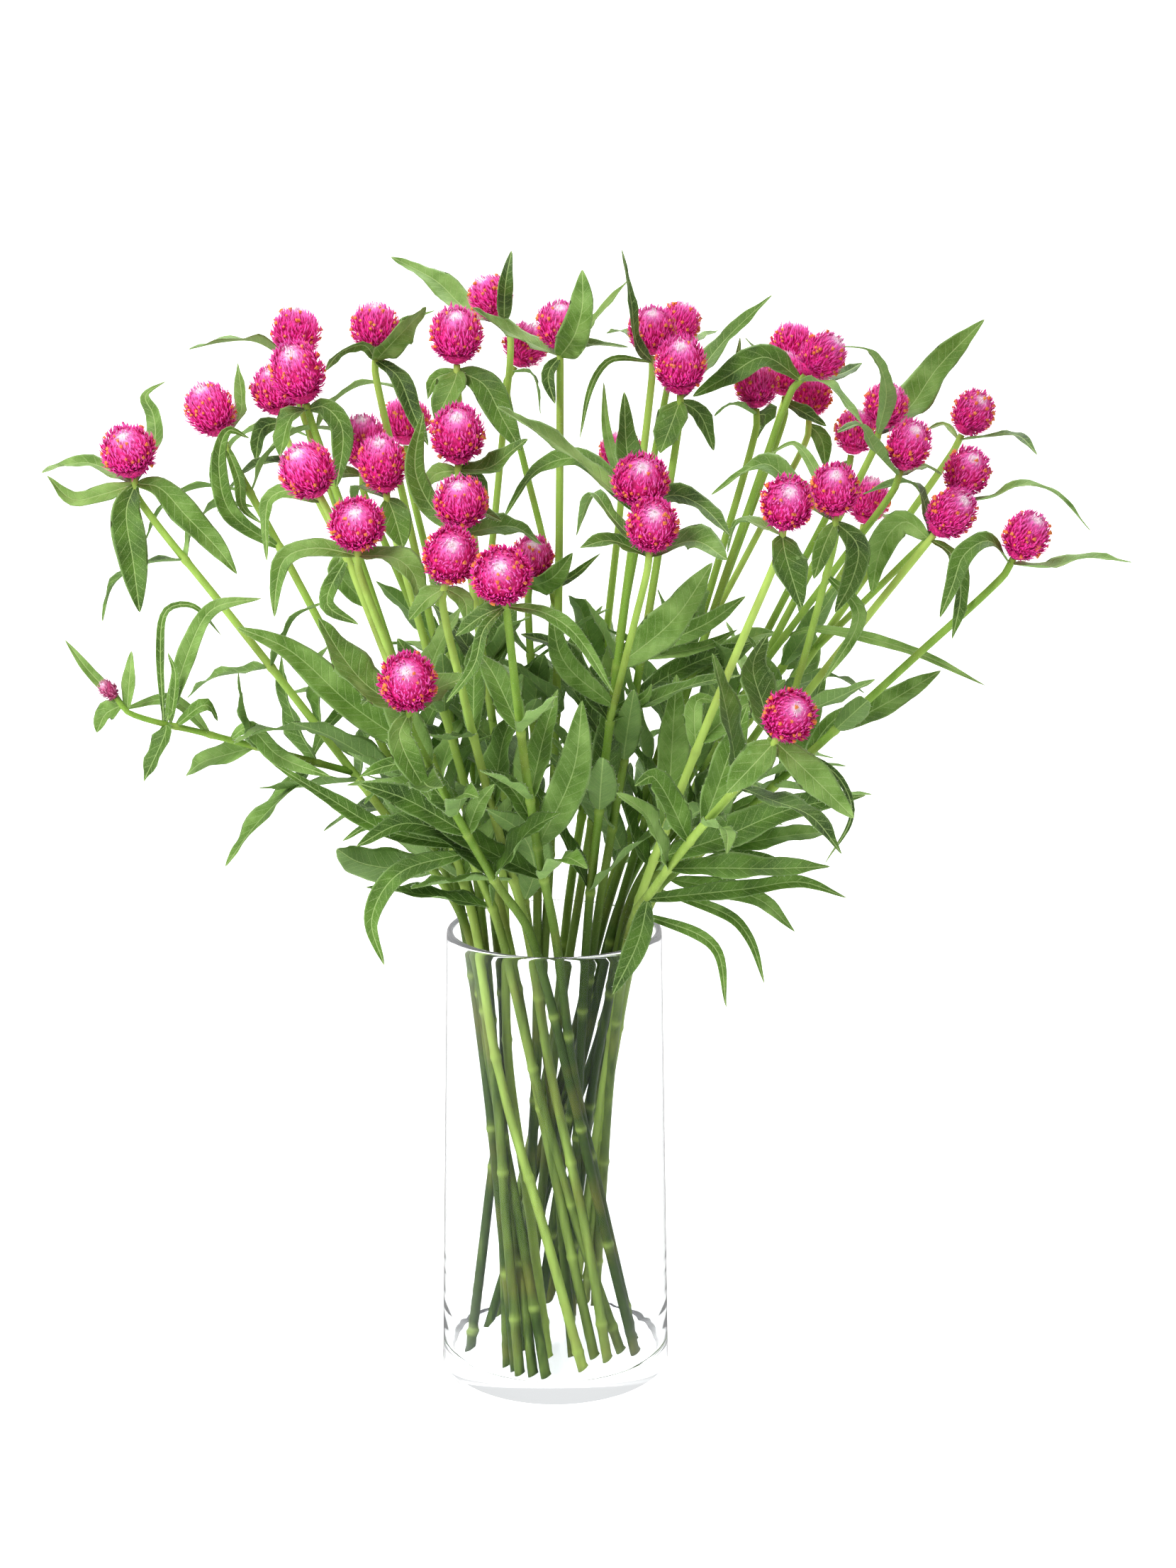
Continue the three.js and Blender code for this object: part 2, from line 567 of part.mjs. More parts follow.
// A flower head: rows of bracts whose tips stand out of a smaller core, on a flat seat
function headGeometry(bloom) {
  const n = bractsPerRow;
  const rx = bloom.width / 2;
  const rz = bloom.height / 2;
  const positions = [];
  const index = [];
  const point = (lift, reach, turn) => {
    const ring = Math.sin(lift) * reach;
    positions.push(Math.cos(turn) * ring * rx, Math.sin(turn) * ring * rx, rz - Math.cos(lift) * reach * rz);
    return positions.length / 3 - 1;
  };
  const seatRow = [];
  for (let i = 0; i < n; i += 1) {
    const turn = 2 * Math.PI * i / n;
    positions.push(Math.cos(turn) * rx * 0.3, Math.sin(turn) * rx * 0.3, 0);
    seatRow.push(positions.length / 3 - 1);
  }
  for (let i = 1; i < n - 1; i += 1) index.push(seatRow[0], seatRow[i + 1], seatRow[i]);
  let inner = seatRow;
  for (let row = 0; row < headRows; row += 1) {
    const lift = 0.95 + 1.75 * row / (headRows - 1);
    const shift = (row % 2) * Math.PI / n;
    const tips = [];
    const roots = [];
    for (let i = 0; i < n; i += 1) {
      const turn = 2 * Math.PI * i / n + shift;
      tips.push(point(lift, 1, turn));
      tips.push(point(lift - 0.08, headCore + 0.04, turn + Math.PI / n));
      roots.push(point(lift + 0.2, headCore, turn + Math.PI / n));
    }
    joinRows(inner, tips, index, shift > 0 || row === 0 ? 0 : -1);
    joinInner(tips, roots, index);
    inner = roots;
  }
  positions.push(0, 0, bloom.height);
  const crown = positions.length / 3 - 1;
  for (let i = 0; i < n; i += 1) index.push(inner[i], inner[(i + 1) % n], crown);
  const geometry = new THREE.BufferGeometry();
  geometry.setAttribute('position', new THREE.Float32BufferAttribute(positions, 3));
  geometry.setIndex(index);
  return geometry;
}

// From a row of n points up to a row of 2n, a tip over each of them and a notch between
function joinRows(low, high, index, offset) {
  const n = low.length;
  for (let i = 0; i < n; i += 1) {
    const tip = high[2 * i];
    const notch = high[2 * i + 1];
    const nextTip = high[(2 * i + 2) % (2 * n)];
    const a = low[(i + offset + n) % n];
    const b = low[(i + 1 + offset + n) % n];
    index.push(a, notch, tip, a, b, notch, b, nextTip, notch);
  }
}

// From a row of 2n points in to a row of n, one over each notch
function joinInner(low, high, index) {
  const n = high.length;
  for (let i = 0; i < n; i += 1) {
    const tip = low[2 * i];
    const notch = low[2 * i + 1];
    const nextTip = low[(2 * i + 2) % (2 * n)];
    const root = high[i];
    const nextRoot = high[(i + 1) % n];
    index.push(tip, notch, root, notch, nextTip, root, nextTip, nextRoot, root);
  }
}

// A smooth curve through a route's points, at a share t of its length, measured along its straight pieces
function pointOn(route, t) {
  const marks = [0];
  for (let i = 1; i < route.length; i += 1) marks.push(marks[i - 1] + length(sub(route[i], route[i - 1])));
  const last = route.length - 1;
  const want = t * marks[last];
  let i = 0;
  while (i < last - 1 && want > marks[i + 1]) i += 1;
  const slope = (k) => {
    const before = Math.max(k - 1, 0);
    const after = Math.min(k + 1, last);
    return scaled(sub(route[after], route[before]), 1 / (marks[after] - marks[before]));
  };
  const span = marks[i + 1] - marks[i];
  const leave = scaled(slope(i), span);
  const arrive = scaled(slope(i + 1), span);
  return hermite(route[i], route[i + 1], leave, arrive, (want - marks[i]) / span);
}

// Leaves: a midrib curve, a blade either side of it that rises at its edges, and edges that wave.
// The blade's face is carried along the midrib without twisting.
function bladeShape(t) {
  return Math.pow(Math.sin(Math.PI * Math.pow(clamp(t, 0, 1), 0.8)), 0.75) * 0.5;
}

function leafFrames(route, face, steps) {
  const points = [];
  for (let k = 0; k <= steps; k += 1) points.push(pointOn(route, k / steps));
  let up = face;
  return points.map((middle, k) => {
    const way = unit(sub(points[Math.min(k + 1, steps)], points[Math.max(k - 1, 0)]));
    up = unit(add(up, way, -dot(up, way)));
    return { middle, up, across: cross(up, way) };
  });
}

function bladePoint(leaf, t, off, lift) {
  const steps = leaf.frames.length - 1;
  const k = Math.min(Math.floor(t * steps), steps - 1);
  const a = leaf.frames[k];
  const b = leaf.frames[k + 1];
  const s = t * steps - k;
  const across = mix(a.across, b.across, s);
  const up = mix(a.up, b.up, s);
  return add(add(mix(a.middle, b.middle, s), across, off), up, lift);
}

function leafRings(leaf) {
  const count = leaf.rings;
  const rings = [];
  for (let i = 0; i < count; i += 1) {
    const t = i / count * (1 - 0.06) + (i > 0 ? 0.03 : 0);
    const half = i === 0 ? 0.9 : Math.max(leaf.width * bladeShape(t), 0.9);
    const thick = i === 0 ? 1.4 : leafThickness;
    const wave = i === 0 ? 0 : leafWave * half * 2 * (i % 2 ? 1 : -1);
    const fold = half * 2 * leafFold;
    const ring = [
      bladePoint(leaf, t, -half, fold + wave),
      bladePoint(leaf, t, 0, -thick / 2),
      bladePoint(leaf, t, half, fold - wave),
    ];
    if (leaf.width >= creasedWidth) ring.push(bladePoint(leaf, t, 0, thick / 2));
    rings.push(ring);
  }
  return rings;
}

// Whether no edge of the blade runs back on itself
function isUnfolded(leaf) {
  const rings = [...leafRings(leaf), Array(4).fill(leaf.route[leaf.route.length - 1])];
  for (let i = 1; i < rings.length - 1; i += 1) {
    const way = sub(rings[i + 1][1], rings[i][1]);
    for (const side of [0, 2]) {
      const edge = sub(rings[i + 1][side], rings[i][side]);
      if (dot(edge, way) < 0.15 * dot(way, way)) return false;
    }
  }
  return true;
}

// The upper face of a blade is split along the same lines as the lower one, or along its ridges
function leafSolid(leaf) {
  const creased = leaf.width >= creasedWidth;
  const turned = (r, i) => (creased ? i >= 2 : i === 2 && r % 2 === 1);
  return asSolid(skin(leafRings(leaf), leaf.route[leaf.route.length - 1], turned));
}

function leafSamples(leaf) {
  const samples = [];
  const along = Math.ceil(leaf.length / 3.2);
  for (let i = 1; i <= along; i += 1) {
    const t = i / along;
    const half = leaf.width * bladeShape(t);
    const wide = Math.max(1, Math.round(half / 2.2));
    for (let k = -wide; k <= wide; k += 1) {
      const off = half * k / wide;
      samples.push([...bladePoint(leaf, t, off, Math.abs(off) * 2 * leafFold), t]);
    }
  }
  return samples;
}

const placedLeaves = [];
const stems = settleStems();
const stemParts = segmentsOf(stems).map(({ chain, i }) => (
  { number: chain.number, a: chain.points[i], b: chain.points[i + 1], radius: chain.radii[i] }));

function toPart(p, part) {
  const along = sub(part.b, part.a);
  const s = clamp(dot(sub(p, part.a), along) / dot(along, along), 0, 1);
  return length(sub(p, mix(part.a, part.b, s)));
}

function isClear(leaf, samples, near) {
  for (const sample of samples) {
    const t = sample[3];
    if (sample[2] < 3) return false;
    const reach = Math.hypot(sample[0], sample[1]);
    if (sample[2] < vaseHeight + 3) {
      const z = Math.min(sample[2], vaseHeight);
      if (reach > vaseInner(z) - 2 && reach < vaseOuter(z) + 2) return false;
      if (reach < vaseInner(z)) return false;
    }
    for (const bloom of near.blooms) {
      const own = bloom.number === leaf.number;
      if (own && t < 0.12) continue;
      const off = sub(sample, bloom.centre);
      const lift = dot(off, bloom.axis);
      const side = Math.sqrt(Math.max(dot(off, off) - lift * lift, 0));
      const wide = bloom.width / 2 + (own ? 1.7 : 2.1);
      const tall = bloom.height / 2 + (own ? 1.7 : 2.1);
      if ((side / wide) ** 2 + (lift / tall) ** 2 < 1) return false;
    }
    for (const part of near.parts) {
      const own = part.number === leaf.number;
      if (own && t < 0.4) continue;
      const gap = own ? part.radius + 0.8 : Math.max(leafClearance, part.radius + 1.2);
      if (toPart(sample, part) < gap) return false;
    }
    for (const other of near.leaves) {
      if (other.spray === leaf.spray && t < 0.3) continue;
      for (const theirs of other.samples) {
        if (other.spray === leaf.spray && theirs[3] < 0.3) continue;
        const x = sample[0] - theirs[0];
        const y = sample[1] - theirs[1];
        const z = sample[2] - theirs[2];
        if (x * x + y * y + z * z < leafClearance * leafClearance) return false;
      }
    }
  }
  return true;
}

function nearby(leaf, margin) {
  const ball = leaf.ball;
  const close = (p, r) => length(sub(p, ball.centre)) < r + ball.radius + margin;
  return {
    blooms: blooms.filter((bloom) => close(bloom.centre, 15)),
    parts: stemParts.filter((part) => toPart(ball.centre, part) < ball.radius + margin + 5),
    leaves: placedLeaves.filter((other) => close(other.ball.centre, other.ball.radius)),
  };
}

function shapeLeaf(leaf, shift, bow, roll, slim) {
  const n = leaf.route.length - 1;
  const route = leaf.route.map((p, i) => {
    const s = i / n;
    return add(p, leaf.depth, shift * s + bow * 4 * s * (1 - s));
  });
  const chord = unit(sub(route[n], route[0]));
  const side = unit(cross(chord, leaf.aspect));
  const face = add(scaled(cross(side, chord), Math.cos(roll)), side, Math.sin(roll));
  const reach = route.slice(1).reduce((sum, p, i) => sum + length(sub(p, route[i])), 0);
  const frames = leafFrames(route, face, Math.ceil(reach / 3));
  const rings = reach > 42 ? 5 : reach > 20 ? 4 : 3;
  return { ...leaf, route, frames, rings, length: reach, width: leaf.width * slim };
}

const shifts = [0, 6, -6, 12, -12, 18, -18, 26, -26, 34, -34, 44, -44];
const bows = [0, 5, -5, 10, -10, 17, -17];
const rolls = [0, 0.4, -0.4, 0.8, -0.8];

// Tries the leaf as read first, then with its tip and middle moved nearer or farther and its blade rolled
const tries = [];
for (const slim of [1, 0.8, 0.6]) {
  for (const shift of shifts) {
    for (const bow of bows) {
      for (const roll of rolls) {
        const cost = (1 - slim) * 6 + Math.abs(shift) / 30 + Math.abs(bow) / 14 + Math.abs(roll) / 1.6;
        tries.push({ slim, shift, bow, roll, cost });
      }
    }
  }
}
tries.sort((a, b) => a.cost - b.cost);

function placeLeaf(leaf) {
  const n = leaf.route.length - 1;
  const centre = mix(leaf.route[0], leaf.route[n], 0.5);
  const radius = Math.max(...leaf.route.map((p) => length(sub(p, centre)))) + leaf.width;
  leaf.ball = { centre, radius };
  const near = nearby(leaf, 45);
  for (const { slim, shift, bow, roll } of tries) {
    const shaped = shapeLeaf(leaf, shift, bow, roll, slim);
    if (!isUnfolded(shaped)) continue;
    const samples = leafSamples(shaped);
    if (isClear(shaped, samples, near)) {
      const far = Math.max(...samples.map((p) => length(sub(p, centre))));
      placedLeaves.push({ ...shaped, samples, ball: { centre, radius: far } });
      return true;
    }
  }
  return false;
}

function sightLine(p) {
  return unit(sub(p, [eyeAcross, -eyeDistance, eyeHeight]));
}

// The way that a leaf's upper face looks: up and towards the front, a little to one side
function leafAspect() {
  return unit([draw(-0.35, 0.35), -0.8, 0.6]);
}

function leafUnderHead([number, width, tipBack, ...points]) {
  const chain = stems[number - 1];
  const bloom = blooms[number - 1];
  const root = add(bloom.stemTop, bloom.axis, -2.6);
  const n = points.length;
  const route = [root, ...points.map(([x, z], i) => seen(x, z, root[1] + tipBack * (i + 1) / n))];
  return { number, spray: chain.spray, width, route, depth: sightLine(root), aspect: leafAspect() };
}

function nearestStem(p) {
  let best = null;
  for (const part of stemParts) {
    const gap = toPart(p, part);
    if (!best || gap < best.gap) best = { part, gap };
  }
  const along = sub(best.part.b, best.part.a);
  const s = clamp(dot(sub(p, best.part.a), along) / dot(along, along), 0, 1);
  return { number: best.part.number, point: mix(best.part.a, best.part.b, s) };
}

function leafOnStem([back, width, tipBack, ...points]) {
  const { number, point } = nearestStem(seen(points[0][0], points[0][1], back));
  const n = points.length - 1;
  const rest = points.slice(1).map(([x, z], i) => seen(x, z, point[1] + tipBack * (i + 1) / n));
  const spray = stems[number - 1].spray;
  return { number, spray, width, route: [point, ...rest], depth: sightLine(point), aspect: leafAspect() };
}

const trianglesOf = (leaf) => (leaf.width < creasedWidth ? leaf.rings * 6 : leaf.rings * 8);
for (const row of headLeaves) placeLeaf(leafUnderHead(row));
for (const row of stemLeaves) placeLeaf(leafOnStem(row));

// Leaf pairs at the joints of the stems, as many as the plant still needs
function jointLeaves() {
  let total = placedLeaves.reduce((sum, leaf) => sum + trianglesOf(leaf), 0);
  for (let level = 0; level < 5; level += 1) {
    for (const chain of stems) {
      const from = chain.parent ? 0 : 3;
      let left = jointStart + level * jointSpacing + draw(-10, 10);
      const size = draw(jointLeafLength[0], jointLeafLength[1]);
      const width = draw(jointLeafWidth[0], jointLeafWidth[1]);
      const turn = draw(0, 2 * Math.PI);
      for (let i = chain.points.length - 2; i >= from; i -= 1) {
        const a = chain.points[i + 1];
        const b = chain.points[i];
        const span = length(sub(a, b));
        if (left > span) {
          left -= span;
          continue;
        }
        const root = mix(a, b, left / span);
        const up = unit(sub(a, b));
        const u = unit(cross([0, 1, 0.2], up));
        const v = cross(up, u);
        for (let side = 0; side < 2; side += 1) {
          if (total > leafTrianglesWanted) return;
          const way = turn + side * Math.PI;
          const out = add(scaled(u, Math.cos(way)), v, Math.sin(way));
          const route = [
            root,
            add(add(root, out, size * 0.3), up, size * 0.22),
            add(add(root, out, size * 0.65), up, size * 0.25),
            add(add(root, out, size), up, size * 0.02),
          ];
          const leaf = { number: chain.number, spray: chain.spray, width, route, depth: cross(out, up) };
          leaf.aspect = unit(add(up, out, -0.2));
          if (placeLeaf(leaf)) total += trianglesOf(placedLeaves[placedLeaves.length - 1]);
        }
        break;
      }
    }
  }
}
jointLeaves();

// Materials
const glass = new THREE.MeshStandardMaterial({ color: 0xdfe8ea, roughness: 0.05, metalness: 0 });
glass.transparent = true;
glass.opacity = 0.3;
const magenta = new THREE.MeshStandardMaterial({ color: 0xc81e78, roughness: 0.75, metalness: 0 });
const green = new THREE.MeshStandardMaterial({ color: 0x4f7f35, roughness: 0.7, metalness: 0 });

function vaseMesh() {
  const profile = [
    [0, 0], [vaseFootRadius - vaseCorner, 0], [vaseFootRadius - 1.2, 1.2], [vaseFootRadius, vaseCorner],
    [vaseRimRadius, vaseHeight - 1], [vaseRimRadius - 0.7, vaseHeight],
    [vaseRimRadius - vaseWall + 0.7, vaseHeight], [vaseRimRadius - vaseWall, vaseHeight - 1],
    [vaseInner(vaseFloor + vaseCorner), vaseFloor + vaseCorner],
    [vaseInner(vaseFloor) - vaseCorner, vaseFloor], [0, vaseFloor],
  ].map(([r, z]) => new THREE.Vector2(r, z));
  const geometry = new THREE.LatheGeometry(profile, vaseSides);
  geometry.rotateX(Math.PI / 2);
  const mesh = new THREE.Mesh(asGeometry(asSolid(geometry)), glass);
  mesh.name = 'vase';
  return mesh;
}

function headMesh(bloom) {
  const mesh = new THREE.Mesh(headGeometry(bloom), magenta);
  const upright = new THREE.Vector3(0, 0, 1);
  mesh.quaternion.setFromUnitVectors(upright, new THREE.Vector3(...bloom.axis));
  mesh.position.set(...bloom.foot);
  mesh.name = bloom.number === budNumber ? 'bud' : `head_${String(bloom.number).padStart(2, '0')}`;
  return mesh;
}

function sprayMesh(spray) {
  const pieces = [
    ...stems.filter((chain) => chain.spray === spray).map(stemSolid),
    ...placedLeaves.filter((leaf) => leaf.spray === spray).map(leafSolid),
  ];
  const whole = onePiece(pieces.reduce((sum, piece) => sum.add(piece)));
  const mesh = new THREE.Mesh(asGeometry(whole), green);
  mesh.name = `leafy_stems_${String(spray).padStart(2, '0')}`;
  return mesh;
}

const group = new THREE.Group();
group.add(vaseMesh());
const sprayCount = Math.max(...blooms.map((bloom) => bloom.spray));
for (let spray = 1; spray <= sprayCount; spray += 1) group.add(sprayMesh(spray));
for (const bloom of blooms) group.add(headMesh(bloom));

export default group;
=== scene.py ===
import json
import math
import bpy
import numpy as np
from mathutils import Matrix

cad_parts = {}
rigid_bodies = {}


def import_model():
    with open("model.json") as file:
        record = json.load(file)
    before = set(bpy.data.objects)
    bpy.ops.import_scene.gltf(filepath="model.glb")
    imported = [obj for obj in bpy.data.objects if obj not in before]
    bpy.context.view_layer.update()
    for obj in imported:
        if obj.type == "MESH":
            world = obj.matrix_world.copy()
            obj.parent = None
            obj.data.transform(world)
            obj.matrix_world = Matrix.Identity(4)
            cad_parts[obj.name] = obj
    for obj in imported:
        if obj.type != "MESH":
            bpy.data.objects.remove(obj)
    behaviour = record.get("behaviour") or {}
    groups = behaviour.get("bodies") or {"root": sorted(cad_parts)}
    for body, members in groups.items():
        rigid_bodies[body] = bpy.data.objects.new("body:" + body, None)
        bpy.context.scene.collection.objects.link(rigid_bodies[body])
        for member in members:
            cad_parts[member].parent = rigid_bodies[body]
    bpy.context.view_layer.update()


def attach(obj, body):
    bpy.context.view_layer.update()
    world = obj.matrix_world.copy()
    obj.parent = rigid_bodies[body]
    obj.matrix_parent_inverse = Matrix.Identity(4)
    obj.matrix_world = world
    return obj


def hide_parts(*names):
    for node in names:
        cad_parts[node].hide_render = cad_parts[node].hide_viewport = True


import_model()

# A loose bunch of globe amaranth in a clear glass vase. Lengths are in millimetres until a mesh is made.
vase = {"height": 200, "footRadius": 50, "rimRadius": 46, "wall": 3, "floor": 10, "corner": 4, "sides": 120}
bunch = {"seat": 0.3, "clearance": 0.9, "neck": 9, "leaving": 0.8, "arriving": 0.5, "lowPoint": 75,
         "narrowest": 140, "aboveRim": 207, "twist": 1.65, "twistSpread": 0.35, "spread": 0.24,
         "rimReach": (9, 37), "footReach": (10, 40), "pairTouch": 1.35, "footRadius": 2.15, "topRadius": 1.45,
         "forkThinner": 0.85, "budStalkRadius": 1.1, "budNumber": 42, "facing": 0.12, "facingByDepth": 0.003}
loosening = {"rounds": (240, 160), "stemPush": 0.45, "headPush": 0.6, "headGap": 1.5, "wallGap": 1.2,
             "footGap": 1, "drift": 0.015, "forkDrift": 0.02, "grid": 100}
leafRule = {"clearance": 3.5, "stemGap": 1.2, "ownStemGap": 0.8, "ownHeadGap": 1.7, "headGap": 2.1,
            "floorGap": 3, "rimGap": 3, "wallGap": 2, "freeRoot": (0.12, 0.4, 0.3), "reach": 45,
            "boxGap": 3.6, "fold": 0.16, "wave": 0.1, "ends": 0.06, "leastHalf": 0.9, "below": 0.65,
            "leastRun": 0.15, "ringStep": 3, "sampleStep": 3.2, "sampleWidth": 2.2, "root": 2.6,
            "creasedWidth": 9, "wanted": 4700, "levels": 5, "jointSpacing": 58, "jointStart": 32,
            "jointLength": (34, 56), "jointWidth": (8, 12), "path": ((0.3, 0.22), (0.65, 0.25), (1, 0.02))}
fillRule = {"clearance": 1.5, "stemGap": 0.7, "headGap": 1.2, "tries": 260, "most": 170, "bare": 11,
            "spacing": 34, "length": (66, 34), "width": (14.5, 7.5), "heights": (215, 390),
            "steep": (0.5, 1.15), "flatter": 0.35, "droop": (-0.1, 0.22)}
eye = {"across": 14.4, "distance": 1056, "height": 504}

# Each flower head: spray, head whose stem it forks from, height of that fork, then across, up, back,
# width and height of the head, and how far its axis leans across per unit up
heads = [
    [1, 0, 0, -174, 403, 10, 22, 22, -0.15], [2, 0, 0, -140, 420, 30, 20, 23, -0.4],
    [3, 0, 0, -104, 451, 90, 20, 21, 0.1], [2, 0, 0, -104, 435, 22, 22, 26, -0.26],
    [2, 4, 330, -113, 428, 58, 20, 21, -0.2], [3, 0, 0, -72, 453, 65, 19.5, 21, 0],
    [5, 0, 0, -39, 450, 25, 21.5, 23.5, 0], [5, 7, 330, -25, 465, 72, 17.5, 18.5, -0.5],
    [6, 0, 0, 3, 454, 35, 19, 20, 0], [6, 9, 330, -11, 446, 92, 18, 19, 0.5],
    [1, 0, 0, -101, 395, -30, 23, 23.5, -0.45], [3, 6, 310, -78, 407, 45, 19, 23, 0],
    [4, 0, 0, -70, 398, -22, 19.5, 24.5, -0.1], [5, 0, 0, -60, 415.5, 100, 20, 20, 0],
    [7, 0, 0, -39, 410, -15, 22, 25, 0], [7, 15, 290, -38, 382, -48, 22, 22, -0.1],
    [4, 0, 0, -81, 373, -60, 23, 22.7, 0], [7, 0, 0, -42.4, 360, -78, 22.3, 25, 0.2],
    [8, 0, 0, -21.3, 351.8, -104, 25, 24.5, -0.1], [6, 0, 0, -8.7, 359, 35, 18, 19, 0.1],
    [9, 0, 0, 40.4, 451.8, 45, 19, 20, 0], [9, 21, 330, 51.7, 454.8, 88, 16.5, 18, 0.2],
    [10, 0, 0, 52, 438, 15, 20.7, 24, 0], [10, 0, 0, 36, 391, -35, 23.3, 22.5, 0.1],
    [10, 24, 290, 41, 372.6, -68, 21.5, 23, 0.1], [11, 0, 0, 97.5, 446, 102, 18, 19, 0.1],
    [12, 0, 0, 110, 441.5, 50, 18, 21, 0.9], [11, 0, 0, 83, 430, 60, 18, 19, 0],
    [11, 26, 330, 94.5, 434.5, 78, 17, 18, 0], [13, 0, 0, 136, 421.5, 45, 18, 19, 0.25],
    [13, 30, 310, 146, 405.6, 0, 18, 21.5, 0.3], [12, 0, 0, 124, 411, 80, 17, 19, 0.2],
    [14, 0, 0, 171.8, 418.7, 55, 17, 19.5, 0.5], [14, 33, 320, 170, 394.5, 22, 18.5, 21, 0.35],
    [15, 0, 0, 164.3, 377.5, -12, 19.3, 22.5, 0.75], [14, 0, 0, 195.5, 368.2, -22, 19, 21.5, 0.5],
    [15, 0, 0, 96.3, 381.7, -70, 21.7, 23.5, 0.1], [15, 35, 290, 116, 387.3, -37, 20, 22.3, -0.05],
    [13, 0, 0, 130, 383, 62, 17, 20, 0.2], [8, 0, 0, -61, 307, -105, 24, 25.3, 0],
    [15, 0, 0, 99, 292.5, -112, 21.8, 23, 0.45], [1, 1, 268, -186.5, 303.5, -30, 7, 9, -0.8],
    [9, 0, 0, 28, 402, 90, 18, 19, 0], [12, 27, 330, 105.5, 426, 98, 17, 19, 0.1],
]

